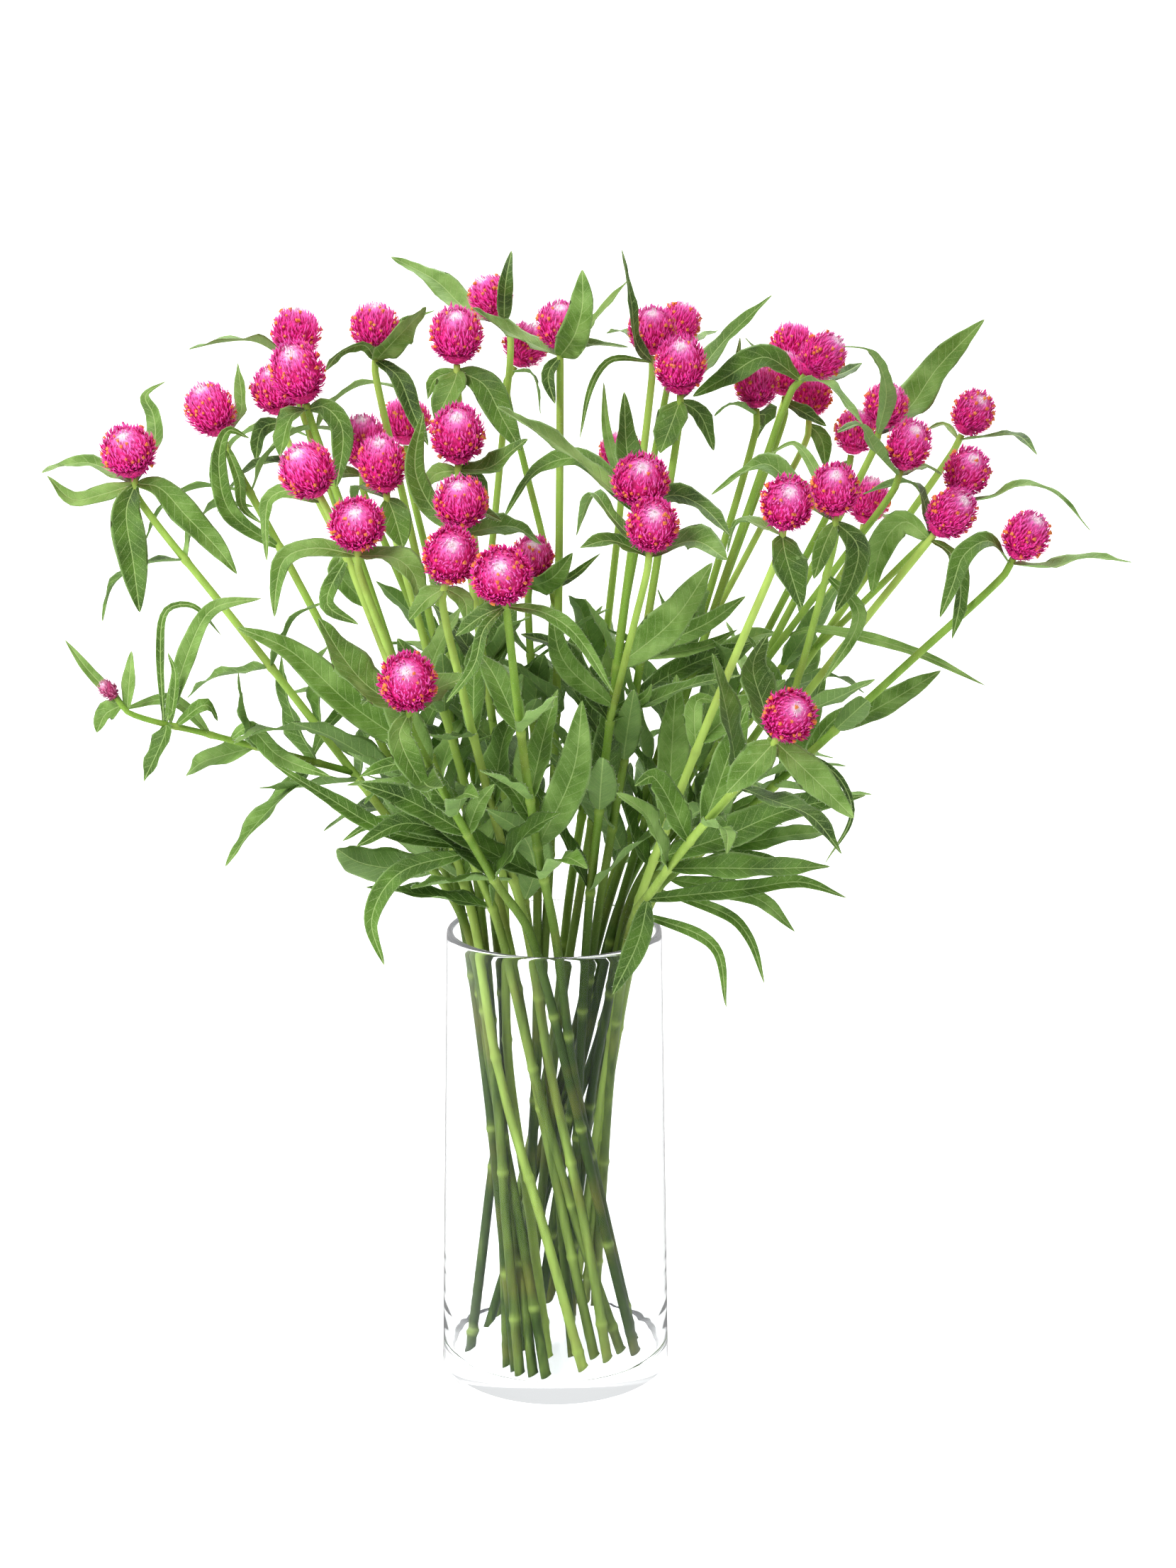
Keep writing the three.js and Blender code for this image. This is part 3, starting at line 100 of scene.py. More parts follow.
# Leaves under the heads: head, leaf width, how far the tip lies behind the root, then the midrib's points
headLeaves = [
    [1, 8, 8, [-163, 407], [-163, 419], [-166, 427], [-157, 433]],
    [1, 9, 5, [-190, 398], [-202, 397], [-210, 394]], [1, 8, -8, [-186, 385], [-198, 383], [-208, 393]],
    [1, 14, -15, [-176, 378], [-174, 358], [-172, 336]],
    [1, 12, -10, [-162, 388], [-152, 377], [-139, 363], [-131, 352]], [2, 6, 5, [-137, 402], [-140, 386]],
    [2, 5, -6, [-129, 391], [-128, 380], [-120, 373]], [2, 9, 14, [-127, 420], [-128, 439]],
    [3, 11, -12, [-120, 447], [-133, 447], [-147, 444]], [3, 9, 16, [-113, 457], [-124, 459], [-134, 451]],
    [4, 13, -8, [-107, 417], [-112, 400]], [4, 10, -5, [-93, 421], [-86, 412], [-89, 388]],
    [5, 8, 8, [-119, 412], [-122, 398]], [6, 13, 0, [-62, 450], [-51, 461]],
    [6, 7, 24, [-60, 455], [-47, 460]], [6, 6, -5, [-77, 446], [-86, 443], [-93, 435]],
    [6, 9, -18, [-63, 433], [-57, 418], [-51, 405]], [7, 14, -8, [-40, 431], [-48, 415]],
    [7, 13, -10, [-28, 430], [-21, 417], [-13, 403]], [7, 6, 8, [-48, 432], [-51, 424]],
    [8, 13, 10, [-36, 461], [-48, 472], [-67, 482]], [8, 7, 10, [-19, 470], [-16.5, 483]],
    [9, 13, -14, [-8, 446], [-20, 452], [-33, 461]], [9, 13, -16, [9, 450], [12, 461], [12, 476]],
    [9, 6, -5, [12, 446], [31, 445]], [9, 7, 8, [17, 456], [31, 472]], [9, 6, -8, [-2, 434], [1, 422]],
    [10, 5, -4, [-8, 434], [-5, 418]], [11, 6.5, -8, [-110, 387], [-118, 382], [-119, 357]],
    [12, 8, 8, [-87, 393], [-90, 379]], [13, 13, -6, [-66, 378], [-62, 363]],
    [13, 8, 6, [-79, 389], [-83, 378]], [14, 8, 6, [-66, 403], [-70, 388]],
    [15, 4, -15, [-39, 405], [-38, 412], [-30, 419]], [15, 11, -5, [-26, 396], [-18, 402], [-10, 408]],
    [15, 9, 6, [-33, 391], [-27, 380]], [15, 8, 6, [-49, 393], [-53, 382]],
    [16, 9, -10, [-50, 380], [-57, 396], [-53, 419]], [16, 7, -12, [-31, 378], [-21, 374]],
    [16, 10, 8, [-17, 372], [-4, 364]], [17, 8, -12, [-98, 363], [-111, 359], [-115, 347], [-116, 334]],
    [17, 12, -8, [-66, 359], [-58, 352], [-55, 337]], [18, 7, -3, [-37, 341], [-36, 331]],
    [18, 9, 5, [-52, 342], [-60, 333]], [19, 8, -6, [-29, 335], [-41, 326]],
    [19, 5, -10, [-29, 329], [-33, 314], [-45, 298]], [19, 6, -8, [-4, 336], [9, 327], [25, 302]],
    [20, 11, -6, [0, 351], [8, 361]], [20, 5, 4, [6, 350], [20, 361]],
    [21, 6, -10, [34, 447], [32, 462], [28, 484]], [21, 7, 6, [30, 451], [21, 451]],
    [21, 3, -10, [24, 440], [16, 430], [11, 408]], [22, 6, 6, [60, 449], [68, 452]],
    [23, 14, -8, [49, 415], [44, 402]], [23, 10, 8, [62, 438], [72, 450], [90, 467]],
    [23, 8, 8, [60, 418], [66, 403]], [24, 12, -12, [14, 396], [-2, 408], [-23, 421]],
    [24, 9, -18, [12, 400], [-8, 396], [-23, 375]], [24, 10, -8, [50, 385], [62, 380], [73, 368]],
    [24, 12, 10, [30, 405], [29, 428]], [25, 7, 8, [24, 376], [16, 386], [9, 368]],
    [25, 9, -6, [24, 366], [11, 363]], [25, 14, -14, [58, 366], [72, 358]], [26, 7, 5, [88, 438], [78, 449]],
    [26, 7, 10, [106, 433], [117, 437]], [27, 12, -10, [86, 441], [71, 433], [57, 425]],
    [27, 8, -14, [112, 430], [127, 413]], [27, 7, 8, [117, 434], [127, 439]],
    [28, 12, -4, [87, 417], [81, 406]], [28, 7, -6, [73, 422], [66, 417]], [28, 6, 8, [75, 436], [76, 450]],
    [29, 7, -5, [100, 420], [112, 413]], [30, 13, -14, [136, 428], [129, 442], [118, 444]],
    [30, 16, 5, [147, 422], [157, 437], [176, 457]], [31, 9, -13, [133, 402], [126, 413], [117, 410]],
    [31, 8, 6, [152, 397], [160, 393]], [32, 8, 4, [119, 398], [117, 385]],
    [33, 6.5, -5, [180, 409], [190, 409], [197.5, 401.5]], [33, 3, 4, [160, 414], [152, 411]],
    [34, 7.5, -6, [181, 384], [192, 389], [206, 386], [222, 370]],
    [35, 9, -10, [152, 384], [145, 391], [126, 386]], [35, 12, 8, [145, 374], [136, 364], [132, 344]],
    [35, 8, -12, [165, 360], [169, 345], [166, 325]], [36, 10, -8, [206, 355], [220, 359], [240, 357]],
    [36, 9, -12, [180, 366], [170, 360], [166, 348], [161, 334]], [37, 14, -14, [96, 360], [103, 338]],
    [37, 9, 6, [77, 374], [72, 361]], [38, 11, 12, [99, 388], [86, 398], [64, 385]],
    [38, 5, 8, [107, 396], [98, 407], [88, 402]], [38, 10, -10, [126, 364], [124, 350], [117, 336]],
    [38, 8, -5, [112, 364], [108, 350]], [39, 6, 6, [137, 377], [142, 366]],
    [40, 17, 8, [-78, 305], [-88, 317], [-98, 334]], [40, 14, 8, [-50, 303], [-36, 309]],
    [40, 11, -6, [-65, 283], [-52, 256]], [41, 15, 8, [87, 299], [83, 314], [89, 327]],
    [41, 14, -4, [84, 271], [73, 259]], [41, 13, -8, [110, 265], [127, 248]],
    [41, 3, 4, [118, 268], [126, 250], [115, 228]], [43, 5, 6, [22, 412], [21, 430]],
    [44, 8, 6, [110, 408], [112, 396]],
]

# Leaves lower down: how far back the root lies, leaf width, how far the tip lies behind the root, then the
# root and the midrib's points. The root sits on the nearest stem.
stemLeaves = [
    [20, 8, -10, [-126, 356], [-133, 378], [-137, 398], [-133, 411], [-124, 408]],
    [-20, 9, 4, [-103, 358], [-89, 353], [-74, 336]], [-20, 7, -6, [-108, 352], [-94, 340], [-81, 331]],
    [-30, 5.5, -5, [-134, 301], [-160, 299], [-181, 295]],
    [-30, 10, -8, [-155, 305], [-163, 285], [-173, 264]], [-30, 6, 5, [-150, 305], [-146, 297], [-141, 290]],
    [-30, 3.5, 10, [-155, 308], [-164, 320], [-161, 337], [-150, 339], [-138, 326]],
    [-30, 8, 6, [-154, 308], [-150, 325], [-141, 338], [-121, 342]],
    [-30, 4, 4, [-152, 307], [-158, 310], [-161, 319]],
    [-30, 8, -10, [-125, 299], [-128, 287], [-116, 275], [-94, 266]],
    [-20, 14, -6, [-66, 272], [-85, 297], [-110, 320], [-132, 330]],
    [-30, 5, -4, [-179, 296], [-194, 311], [-204, 325]], [-30, 6, 4, [-178, 295], [-177, 311], [-176, 320]],
    [-30, 9, -4, [-180, 297], [-188, 293], [-192, 285]],
    [-40, 8, -8, [-50, 226], [-72, 243], [-97, 258], [-119, 272]],
    [-38, 9, -8, [-45, 226], [-66, 224], [-78, 204], [-73, 183]],
    [-20, 6, 6, [-60, 240], [-75, 246], [-90, 238]], [-45, 7, -6, [-60, 268], [-73, 270], [-82, 266]],
    [-55, 12, -8, [-44, 245], [-62, 256], [-82, 263]], [-60, 8, -8, [-39, 243], [-32, 254], [-25, 263]],
    [-50, 9, -8, [-12, 248], [-19, 262], [-30, 269]], [-40, 10, -10, [2, 288], [4, 316], [-1, 340]],
    [-50, 15, -14, [6, 238], [8, 268], [12, 299]], [-10, 16, -8, [38, 316], [50, 333], [66, 357]],
    [0, 9, 4, [52, 316], [63, 331], [80, 343]], [0, 6, 4, [56, 312], [64, 322], [77, 329]],
    [-30, 6, -4, [36, 286], [38, 300], [41, 306]], [-20, 8, 0, [50, 290], [60, 299], [70, 298]],
    [-20, 12, 4, [72, 288], [80, 297], [90, 298]], [-55, 12, -8, [50, 256], [42, 266], [34, 262]],
    [10, 7, 4, [106, 280], [117, 290], [130, 298]],
    [-20, 14, -8, [50, 230], [72, 240], [100, 252], [132, 258]], [0, 6, 6, [66, 246], [84, 255], [104, 258]],
    [-10, 7, 4, [56, 222], [78, 231], [99, 229]], [-20, 8, -6, [52, 206], [82, 217], [105, 220], [125, 213]],
    [10, 9, 4, [66, 213], [86, 213], [103, 198]], [-10, 5, -6, [54, 205], [75, 205], [84, 194], [90, 175]],
    [-30, 5, -12, [50, 202], [68, 192], [74, 164]], [-42, 10, -10, [40, 209], [36, 194], [25, 170]],
    [10, 5, -8, [93, 322], [111, 329], [149, 320], [181, 305]],
    [-30, 6, -6, [127, 348], [127, 335], [113, 307]], [10, 6, 6, [-84, 300], [-96, 286], [-104, 268]],
]


def lengthOf(a):
    return np.sqrt((a * a).sum(-1))


def unit(a):
    return a / np.maximum(lengthOf(a), 1e-9)[..., None]


def dot(a, b):
    return (a * b).sum(-1)


def mix(a, b, t):
    return a * (1 - t) + b * t


def clamp(value, low, high):
    return min(max(value, low), high)


def neighbours(count):
    i = np.arange(count)
    return np.maximum(i - 1, 0), np.minimum(i + 1, count - 1)


def headings(points):
    before, after = neighbours(len(points))
    return unit(points[after] - points[before])


# How far along a route each of its points lies
def marksOf(route):
    return np.concatenate([[0], np.cumsum(lengthOf(route[1:] - route[:-1]))])


# Two directions square to a stem and to each other
def spokes(up):
    u = unit(np.cross([0, 1, 0.2], up))
    return u, np.cross(up, u)


# Repeatable draws, the same ones that placed the leaves of the solids
draws = {"state": 4711, "factor": 16807, "most": 2147483647}


def draw(low, high):
    draws["state"] = (draws["state"] * draws["factor"]) % draws["most"]
    return low + (high - low) * (draws["state"] / draws["most"])


# A place in the photograph, in millimetres at the vase's depth, taken back along the line of sight
def seen(across, up, back):
    k = (eye["distance"] + back) / eye["distance"]
    x = eye["across"] + (across - eye["across"]) * k
    return np.array([x, back, eye["height"] + (up - eye["height"]) * k])


def seenUp(p):
    return eye["height"] + (p[2] - eye["height"]) * eye["distance"] / (eye["distance"] + p[1])


def vaseOuter(z):
    return vase["footRadius"] + (vase["rimRadius"] - vase["footRadius"]) * z / vase["height"]


def vaseInner(z):
    return vaseOuter(z) - vase["wall"]


def settleHead(row, number):
    spray, parent, fork, across, up, back, width, height, lean = row
    k = (eye["distance"] + back) / eye["distance"]
    axis = unit(np.array([lean, -bunch["facing"] + back * bunch["facingByDepth"], 1]))
    centre = seen(across, up, back)
    foot = centre - axis * height * k / 2
    return {"spray": spray, "parent": parent, "fork": fork, "number": number, "axis": axis, "centre": centre,
            "width": width * k, "height": height * k, "stemTop": foot - axis * bunch["seat"]}


blooms = [settleHead(row, i + 1) for i, row in enumerate(heads)]


def hermite(a, b, leave, arrive, t):
    t2 = t * t
    t3 = t2 * t
    return a * (2 * t3 - 3 * t2 + 1) + leave * (t3 - 2 * t2 + t) + b * (3 * t2 - 2 * t3) + arrive * (t3 - t2)


def arch(start, along, bloom, steps):
    reach = lengthOf(bloom["stemTop"] - start)
    neck = bloom["stemTop"] - bloom["axis"] * bunch["neck"]
    leave = along * reach * bunch["leaving"]
    arrive = bloom["axis"] * reach * bunch["arriving"]
    points = [hermite(start, neck, leave, arrive, i / (steps + 1)) for i in range(1, steps + 1)]
    return points + [neck, bloom["stemTop"]]


def cutStem(bloom, order):
    top = bloom["stemTop"]
    aim = math.atan2(top[1], top[0])
    rimReach = clamp(6 + math.hypot(top[0], top[1]) * bunch["spread"], *bunch["rimReach"])
    rim = np.array([math.cos(aim) * rimReach, math.sin(aim) * rimReach, bunch["aboveRim"]])
    turn = aim + bunch["twist"] + bunch["twistSpread"] * (order % 3 - 1)
    footReach = clamp(rimReach * 1.05 + 3, *bunch["footReach"])
    foot = np.array([math.cos(turn) * footReach, math.sin(turn) * footReach, vase["floor"] + bunch["seat"]])
    rise = lambda z: mix(foot, rim, (z - foot[2]) / (rim[2] - foot[2]))
    outward = unit(unit(rim - foot) + unit(top - rim))
    return [foot, rise(bunch["lowPoint"]), rise(bunch["narrowest"]), rim] + arch(rim, outward, bloom, 3)


def chainRadii(points, first, last):
    return np.array([first + (last - first) * i / (len(points) - 1) for i in range(len(points))])


# Shares of the way along two straight pieces, p1 to q1 and p2 to q2, at which they come closest
def closestShares(p1, q1, p2, q2):
    d1, d2, r = q1 - p1, q2 - p2, p1 - p2
    aa, ee, ff, bb, cc = dot(d1, d1), dot(d2, d2), dot(d2, r), dot(d1, d2), dot(d1, r)
    denom = aa * ee - bb * bb
    slanted = denom > 1e-9
    s = np.where(slanted, np.clip((bb * ff - cc * ee) / np.where(slanted, denom, 1), 0, 1), 0)
    t = (bb * s + ff) / ee
    s = np.where(t < 0, np.clip(-cc / aa, 0, 1), np.where(t > 1, np.clip((bb - cc) / aa, 0, 1), s))
    return s, np.clip(t, 0, 1)


# Pushes chains of different sprays apart, and off the heads, until they only pass each other
def loosen(chains, rounds):
    counts = [len(c["points"]) for c in chains]
    starts = np.concatenate([[0], np.cumsum(counts)])[:-1]
    points = np.concatenate([np.array(c["points"]) for c in chains])
    radii = np.concatenate([c["radii"] for c in chains])
    low = np.concatenate([s + np.arange(n - 1) for s, n in zip(starts, counts)])
    owner = np.concatenate([np.full(n - 1, i) for i, n in enumerate(counts)])
    spray = np.array([c["spray"] for c in chains])[owner]
    settled = np.array([bool(c.get("settled")) for c in chains])
    still = settled[owner]
    first, second = np.triu_indices(len(low), 1)
    keep = (spray[first] != spray[second]) & ~(still[first] & still[second])
    first, second = first[keep], second[keep]
    wanted = radii[low[first]] + radii[low[second]] + bunch["clearance"]
    centres = np.array([b["centre"] for b in blooms])
    fat = np.array([max(b["width"], b["height"]) / 2 for b in blooms])
    numbers = np.array([c["number"] for c in chains])[owner]
    foreign = (numbers[:, None] != np.array([b["number"] for b in blooms])) & ~still[:, None]
    pointOwner = np.repeat(np.arange(len(chains)), counts)
    place = np.arange(len(points)) - starts[pointOwner]
    forked = np.array([bool(c["parent"]) for c in chains])[pointOwner]
    # a stem's neck and top stay, and so do a fork's root and the stems that are settled
    held = (place >= np.array(counts)[pointOwner] - 2) | ((place == 0) & forked) | settled[pointOwner]
    inner = (place > 0) & ~held
    drift = np.where(forked, loosening["forkDrift"], loosening["drift"])[:, None]
    inVase = ~forked & (place <= 3) & ~held  # these points keep their heights and stay off the glass
    heights = np.concatenate([c.get("heights", np.zeros(n)) for c, n in zip(chains, counts)])
    wallGap = np.where(place == 0, vase["corner"] + loosening["footGap"], loosening["wallGap"])
    widest = vaseInner(np.minimum(heights, vase["height"])) - radii - wallGap
    before, after = neighbours(len(points))
    mates = {}  # the stems of one spray, which touch where the bunch is narrowest
    for c, start in zip(chains, starts):
        if not c["parent"] and not c.get("settled"):
            mates.setdefault(c["spray"], []).append(start + 2)
    for turn in range(rounds):
        push = np.zeros_like(points)
        bottom = np.minimum(points[low], points[low + 1])
        top = np.maximum(points[low], points[low + 1])
        over = top[first] + wanted[:, None] < bottom[second]
        over |= top[second] + wanted[:, None] < bottom[first]
        close = np.nonzero(~over.any(1))[0]
        a, b, want = low[first[close]], low[second[close]], wanted[close]
        s, t = closestShares(points[a], points[a + 1], points[b], points[b + 1])
        apart = mix(points[a], points[a + 1], s[:, None]) - mix(points[b], points[b + 1], t[:, None])
        gap = lengthOf(apart)
        hit = gap < want
        way = np.where(gap[:, None] > 1e-6, apart / np.maximum(gap, 1e-9)[:, None], [1.0, 0, 0])[hit]
        amount = ((want - gap) * loosening["stemPush"])[hit]
        a, b, s, t = a[hit], b[hit], s[hit], t[hit]
        np.add.at(push, a, way * (amount * (1 - s))[:, None])
        np.add.at(push, a + 1, way * (amount * s)[:, None])
        np.add.at(push, b, way * (-amount * (1 - t))[:, None])
        np.add.at(push, b + 1, way * (-amount * t)[:, None])
        along = (points[low + 1] - points[low])[:, None]
        s = np.clip(dot(centres - points[low][:, None], along) / dot(along, along), 0, 1)
        apart = mix(points[low][:, None], points[low + 1][:, None], s[..., None]) - centres
        gap = lengthOf(apart)
        want = fat + radii[low][:, None] + loosening["headGap"]
        a, b = np.nonzero((gap < want) & foreign)
        amount = ((want - gap) * loosening["headPush"] / np.maximum(gap, 1e-9))[a, b][:, None] * apart[a, b]
        np.add.at(push, low[a], amount * (1 - s[a, b])[:, None])
        np.add.at(push, low[a] + 1, amount * s[a, b][:, None])
        moved = np.where(held[:, None], points, points + push)
        moved = np.where(inner[:, None], mix(moved, mix(points[before], points[after], 0.5), drift), moved)
        moved[:, 2] = np.where(inVase, heights, moved[:, 2])
        reach = np.hypot(moved[:, 0], moved[:, 1])
        pull = np.where(inVase & (reach > widest), widest / np.maximum(reach, 1e-9), 1)
        moved[:, :2] *= pull[:, None]
        for group in mates.values():
            if len(group) > 1:
                middle = moved[group].mean(0)
                moved[group] = middle + unit(moved[group] - middle) * bunch["pairTouch"]
        points = moved
    points = np.floor(points * loosening["grid"] + 0.5) / loosening["grid"]
    for c, start, n in zip(chains, starts, counts):
        c["points"] = points[start:start + n]


def pointAtHeight(chain, up):
    points = chain["points"]
    for i in range(3, len(points) - 1):
        low, high = seenUp(points[i]), seenUp(points[i + 1])
        if low <= up <= high:
            place = mix(points[i], points[i + 1], (up - low) / (high - low))
            return place, unit(points[i + 1] - points[i]), i
    raise ValueError("no point of stem %d at %s" % (chain["number"], up))


def settleStems():
    cut = []
    for order, bloom in enumerate(b for b in blooms if not b["parent"]):
        points = np.array(cutStem(bloom, order))
        radii = chainRadii(points, bunch["footRadius"], bunch["topRadius"])
        cut.append({**bloom, "points": points, "radii": radii, "heights": points[:, 2].copy()})
    loosen(cut, loosening["rounds"][0])
    for chain in cut:
        chain["settled"] = True
    forked = []
    for bloom in (b for b in blooms if b["parent"]):
        trunk = next(c for c in cut if c["number"] == bloom["parent"])
        start, along, i = pointAtHeight(trunk, bloom["fork"])
        side = unit(along + unit(bloom["stemTop"] - start))
        points = np.array([start] + arch(start, side, bloom, 2))
        top = bunch["budStalkRadius"] if bloom["number"] == bunch["budNumber"] else bunch["topRadius"]
        radii = chainRadii(points, trunk["radii"][i] * bunch["forkThinner"], top)
        forked.append({**bloom, "points": points, "radii": radii})
    loosen(cut + forked, loosening["rounds"][1])
    return sorted(cut + forked, key=lambda c: c["number"])


# A smooth curve through a route's points, at shares of its length, measured along its straight pieces
def pointsOn(route, shares):
    marks = marksOf(route)
    want = np.asarray(shares) * marks[-1]
    i = np.searchsorted(marks[1:-1], want, side="left")
    before, after = neighbours(len(route))
    slope = (route[after] - route[before]) / (marks[after] - marks[before])[:, None]
    span = (marks[i + 1] - marks[i])[:, None]
    t = (want - marks[i])[:, None] / span
    return hermite(route[i], route[i + 1], slope[i] * span, slope[i + 1] * span, t)


# Half the width of a leaf 1 wide, which is broadest nearer to its root
def bladeShape(t):
    return np.power(np.sin(np.pi * np.power(np.clip(t, 0, 1), 0.8)), 0.75) * 0.5


# The blade's face is carried along the midrib without twisting
def leafFrames(middle, face):
    way = headings(middle)
    up = face
    ups = []
    for w in way:
        up = unit(up - w * dot(up, w)[..., None])
        ups.append(up)
    ups = np.stack(ups, -2)
    return {"middle": middle, "up": ups, "across": np.cross(ups, way)}


def bladePoint(frames, t, off, lift):
    steps = len(frames["middle"]) - 1
    k = np.minimum(np.floor(t * steps).astype(int), steps - 1)
    s = (t * steps - k)[:, None]
    across = mix(frames["across"][k], frames["across"][k + 1], s)
    up = mix(frames["up"][k], frames["up"][k + 1], s)
    return mix(frames["middle"][k], frames["middle"][k + 1], s) + across * off[:, None] + up * lift[:, None]


# Whether no edge of the blade runs back on itself
def isUnfolded(frames, width, rings, tip):
    i = np.arange(rings)
    t = i / rings * (1 - leafRule["ends"]) + np.where(i > 0, leafRule["ends"] / 2, 0)
    half = np.maximum(width * bladeShape(t), leafRule["leastHalf"])
    wave = leafRule["wave"] * half * 2 * np.where(i % 2, 1, -1)
    fold = half * 2 * leafRule["fold"]
    under = bladePoint(frames, t, half * 0, np.full(rings, -leafRule["below"]))
    way = np.concatenate([under[2:], [tip]]) - under[1:]
    for side in (-1, 1):
        edge = bladePoint(frames, t, half * side, fold - wave * side)
        run = np.concatenate([edge[2:], [tip]]) - edge[1:]
        if (dot(run, way) < leafRule["leastRun"] * dot(way, way)).any():
            return False
    return True


# Points all over the blade, and below on its midrib alone, each with its share of the leaf's length
def leafSamples(frames, width, reach):
    along = math.ceil(reach / leafRule["sampleStep"])
    t = np.arange(1, along + 1) / along
    half = width * bladeShape(t)
    wide = np.maximum(1, np.floor(half / leafRule["sampleWidth"] + 0.5)).astype(int)
    rows = np.repeat(np.arange(along), wide * 2 + 1)
    k = np.concatenate([np.arange(-w, w + 1) for w in wide])
    off = half[rows] * k / wide[rows]
    return np.column_stack([bladePoint(frames, t[rows], off, np.abs(off) * 2 * leafRule["fold"]), t[rows]])


def midribSamples(middle, reach):
    along = math.ceil(reach / leafRule["sampleStep"])
    t = np.arange(1, along + 1) / along
    steps = len(middle) - 1
    k = np.minimum(np.floor(t * steps).astype(int), steps - 1)
    return np.column_stack([mix(middle[k], middle[k + 1], (t * steps - k)[:, None]), t])


placedLeaves = []
stems = settleStems()
print("stems settled")
partStart = np.concatenate([c["points"][:-1] for c in stems])
partEnd = np.concatenate([c["points"][1:] for c in stems])
partRadius = np.concatenate([c["radii"][:-1] for c in stems])
partNumber = np.concatenate([np.full(len(c["points"]) - 1, c["number"]) for c in stems])
headCentre = np.array([b["centre"] for b in blooms])
headAxis = np.array([b["axis"] for b in blooms])
headWide = np.array([b["width"] for b in blooms])
headTall = np.array([b["height"] for b in blooms])


def toParts(p, start, end):
    along = end - start
    s = np.clip(dot(p - start, along) / dot(along, along), 0, 1)
    return lengthOf(p - mix(start, end, s[..., None]))


# Whether samples of a leaf stay off the floor, the vase, heads, stems and other leaves
def isClear(leaf, samples, near):
    p, t = samples[:, :3], samples[:, 3]
    headRoot, stemRoot, leafRoot = leafRule["freeRoot"]
    low = p[:, 2] < vase["height"] + leafRule["rimGap"]
    wall = vaseOuter(np.minimum(p[:, 2], vase["height"])) + leafRule["wallGap"]
    if (p[:, 2] < leafRule["floorGap"]).any() or (low & (np.hypot(p[:, 0], p[:, 1]) < wall)).any():
        return False
    h = near["heads"]
    own = (h + 1 == leaf["number"])[None, :]
    off = p[:, None] - headCentre[h]
    lift = dot(off, headAxis[h])
    side = np.sqrt(np.maximum(dot(off, off) - lift * lift, 0))
    spare = np.where(own, leafRule["ownHeadGap"], leafRule["headGap"])
    inside = (side / (headWide[h] / 2 + spare)) ** 2 + (lift / (headTall[h] / 2 + spare)) ** 2 < 1
    if (inside & ~(own & (t < headRoot)[:, None])).any():
        return False
    k = near["parts"]
    own = (partNumber[k] == leaf["number"])[None, :]
    gap = np.where(own, partRadius[k] + leafRule["ownStemGap"],
                   np.maximum(leafRule["clearance"], partRadius[k] + leafRule["stemGap"]))
    touching = toParts(p[:, None], partStart[k], partEnd[k]) < gap
    if (touching & ~(own & (t < stemRoot)[:, None])).any():
        return False
    others, same, theirs = near["leaves"]
    boxGap = leafRule["boxGap"]
    box = ((others > p.min(0) - boxGap) & (others < p.max(0) + boxGap)).all(1)
    others, same, theirs = others[box], same[box], theirs[box]
    off = p[:, None] - others
    close = dot(off, off) < leafRule["clearance"] ** 2
    return not (close & ~(same & ((t < leafRoot)[:, None] | (theirs < leafRoot)))).any()


# Heads, parts of stems and samples of leaves that the leaf may come near, whichever way it's moved
def nearby(leaf, centre, radius):
    reach = radius + leafRule["reach"]
    leaves = [o for o in placedLeaves if lengthOf(o["centre"] - centre) < o["radius"] + reach]
    samples = np.concatenate([np.zeros((0, 4))] + [o["samples"] for o in leaves])
    same = [np.full(len(o["samples"]), o["spray"] == leaf["spray"]) for o in leaves]
    same = np.concatenate([np.zeros(0, bool)] + same)
    return {"heads": np.nonzero(lengthOf(headCentre - centre) < reach + 15)[0],
            "parts": np.nonzero(toParts(centre, partStart, partEnd) < reach + 5)[0],
            "leaves": (samples[:, :3], same, samples[:, 3])}


# The leaf as read first, then with its tip and middle moved nearer or farther and its blade rolled
moves = {"slim": (1, 0.8, 0.6), "shift": (0, 6, -6, 12, -12, 18, -18, 26, -26, 34, -34, 44, -44),
         "bow": (0, 5, -5, 10, -10, 17, -17), "roll": (0, 0.4, -0.4, 0.8, -0.8)}


def costOf(move):
    slim, shift, bow, turned = move
    return (1 - slim) * 6 + abs(shift) / 30 + abs(bow) / 14 + abs(moves["roll"][turned]) / 1.6


tries = [(slim, shift, bow, turned) for slim in moves["slim"] for shift in moves["shift"]
         for bow in moves["bow"] for turned in range(len(moves["roll"]))]
tries.sort(key=costOf)
rolls = np.array(moves["roll"])[:, None]


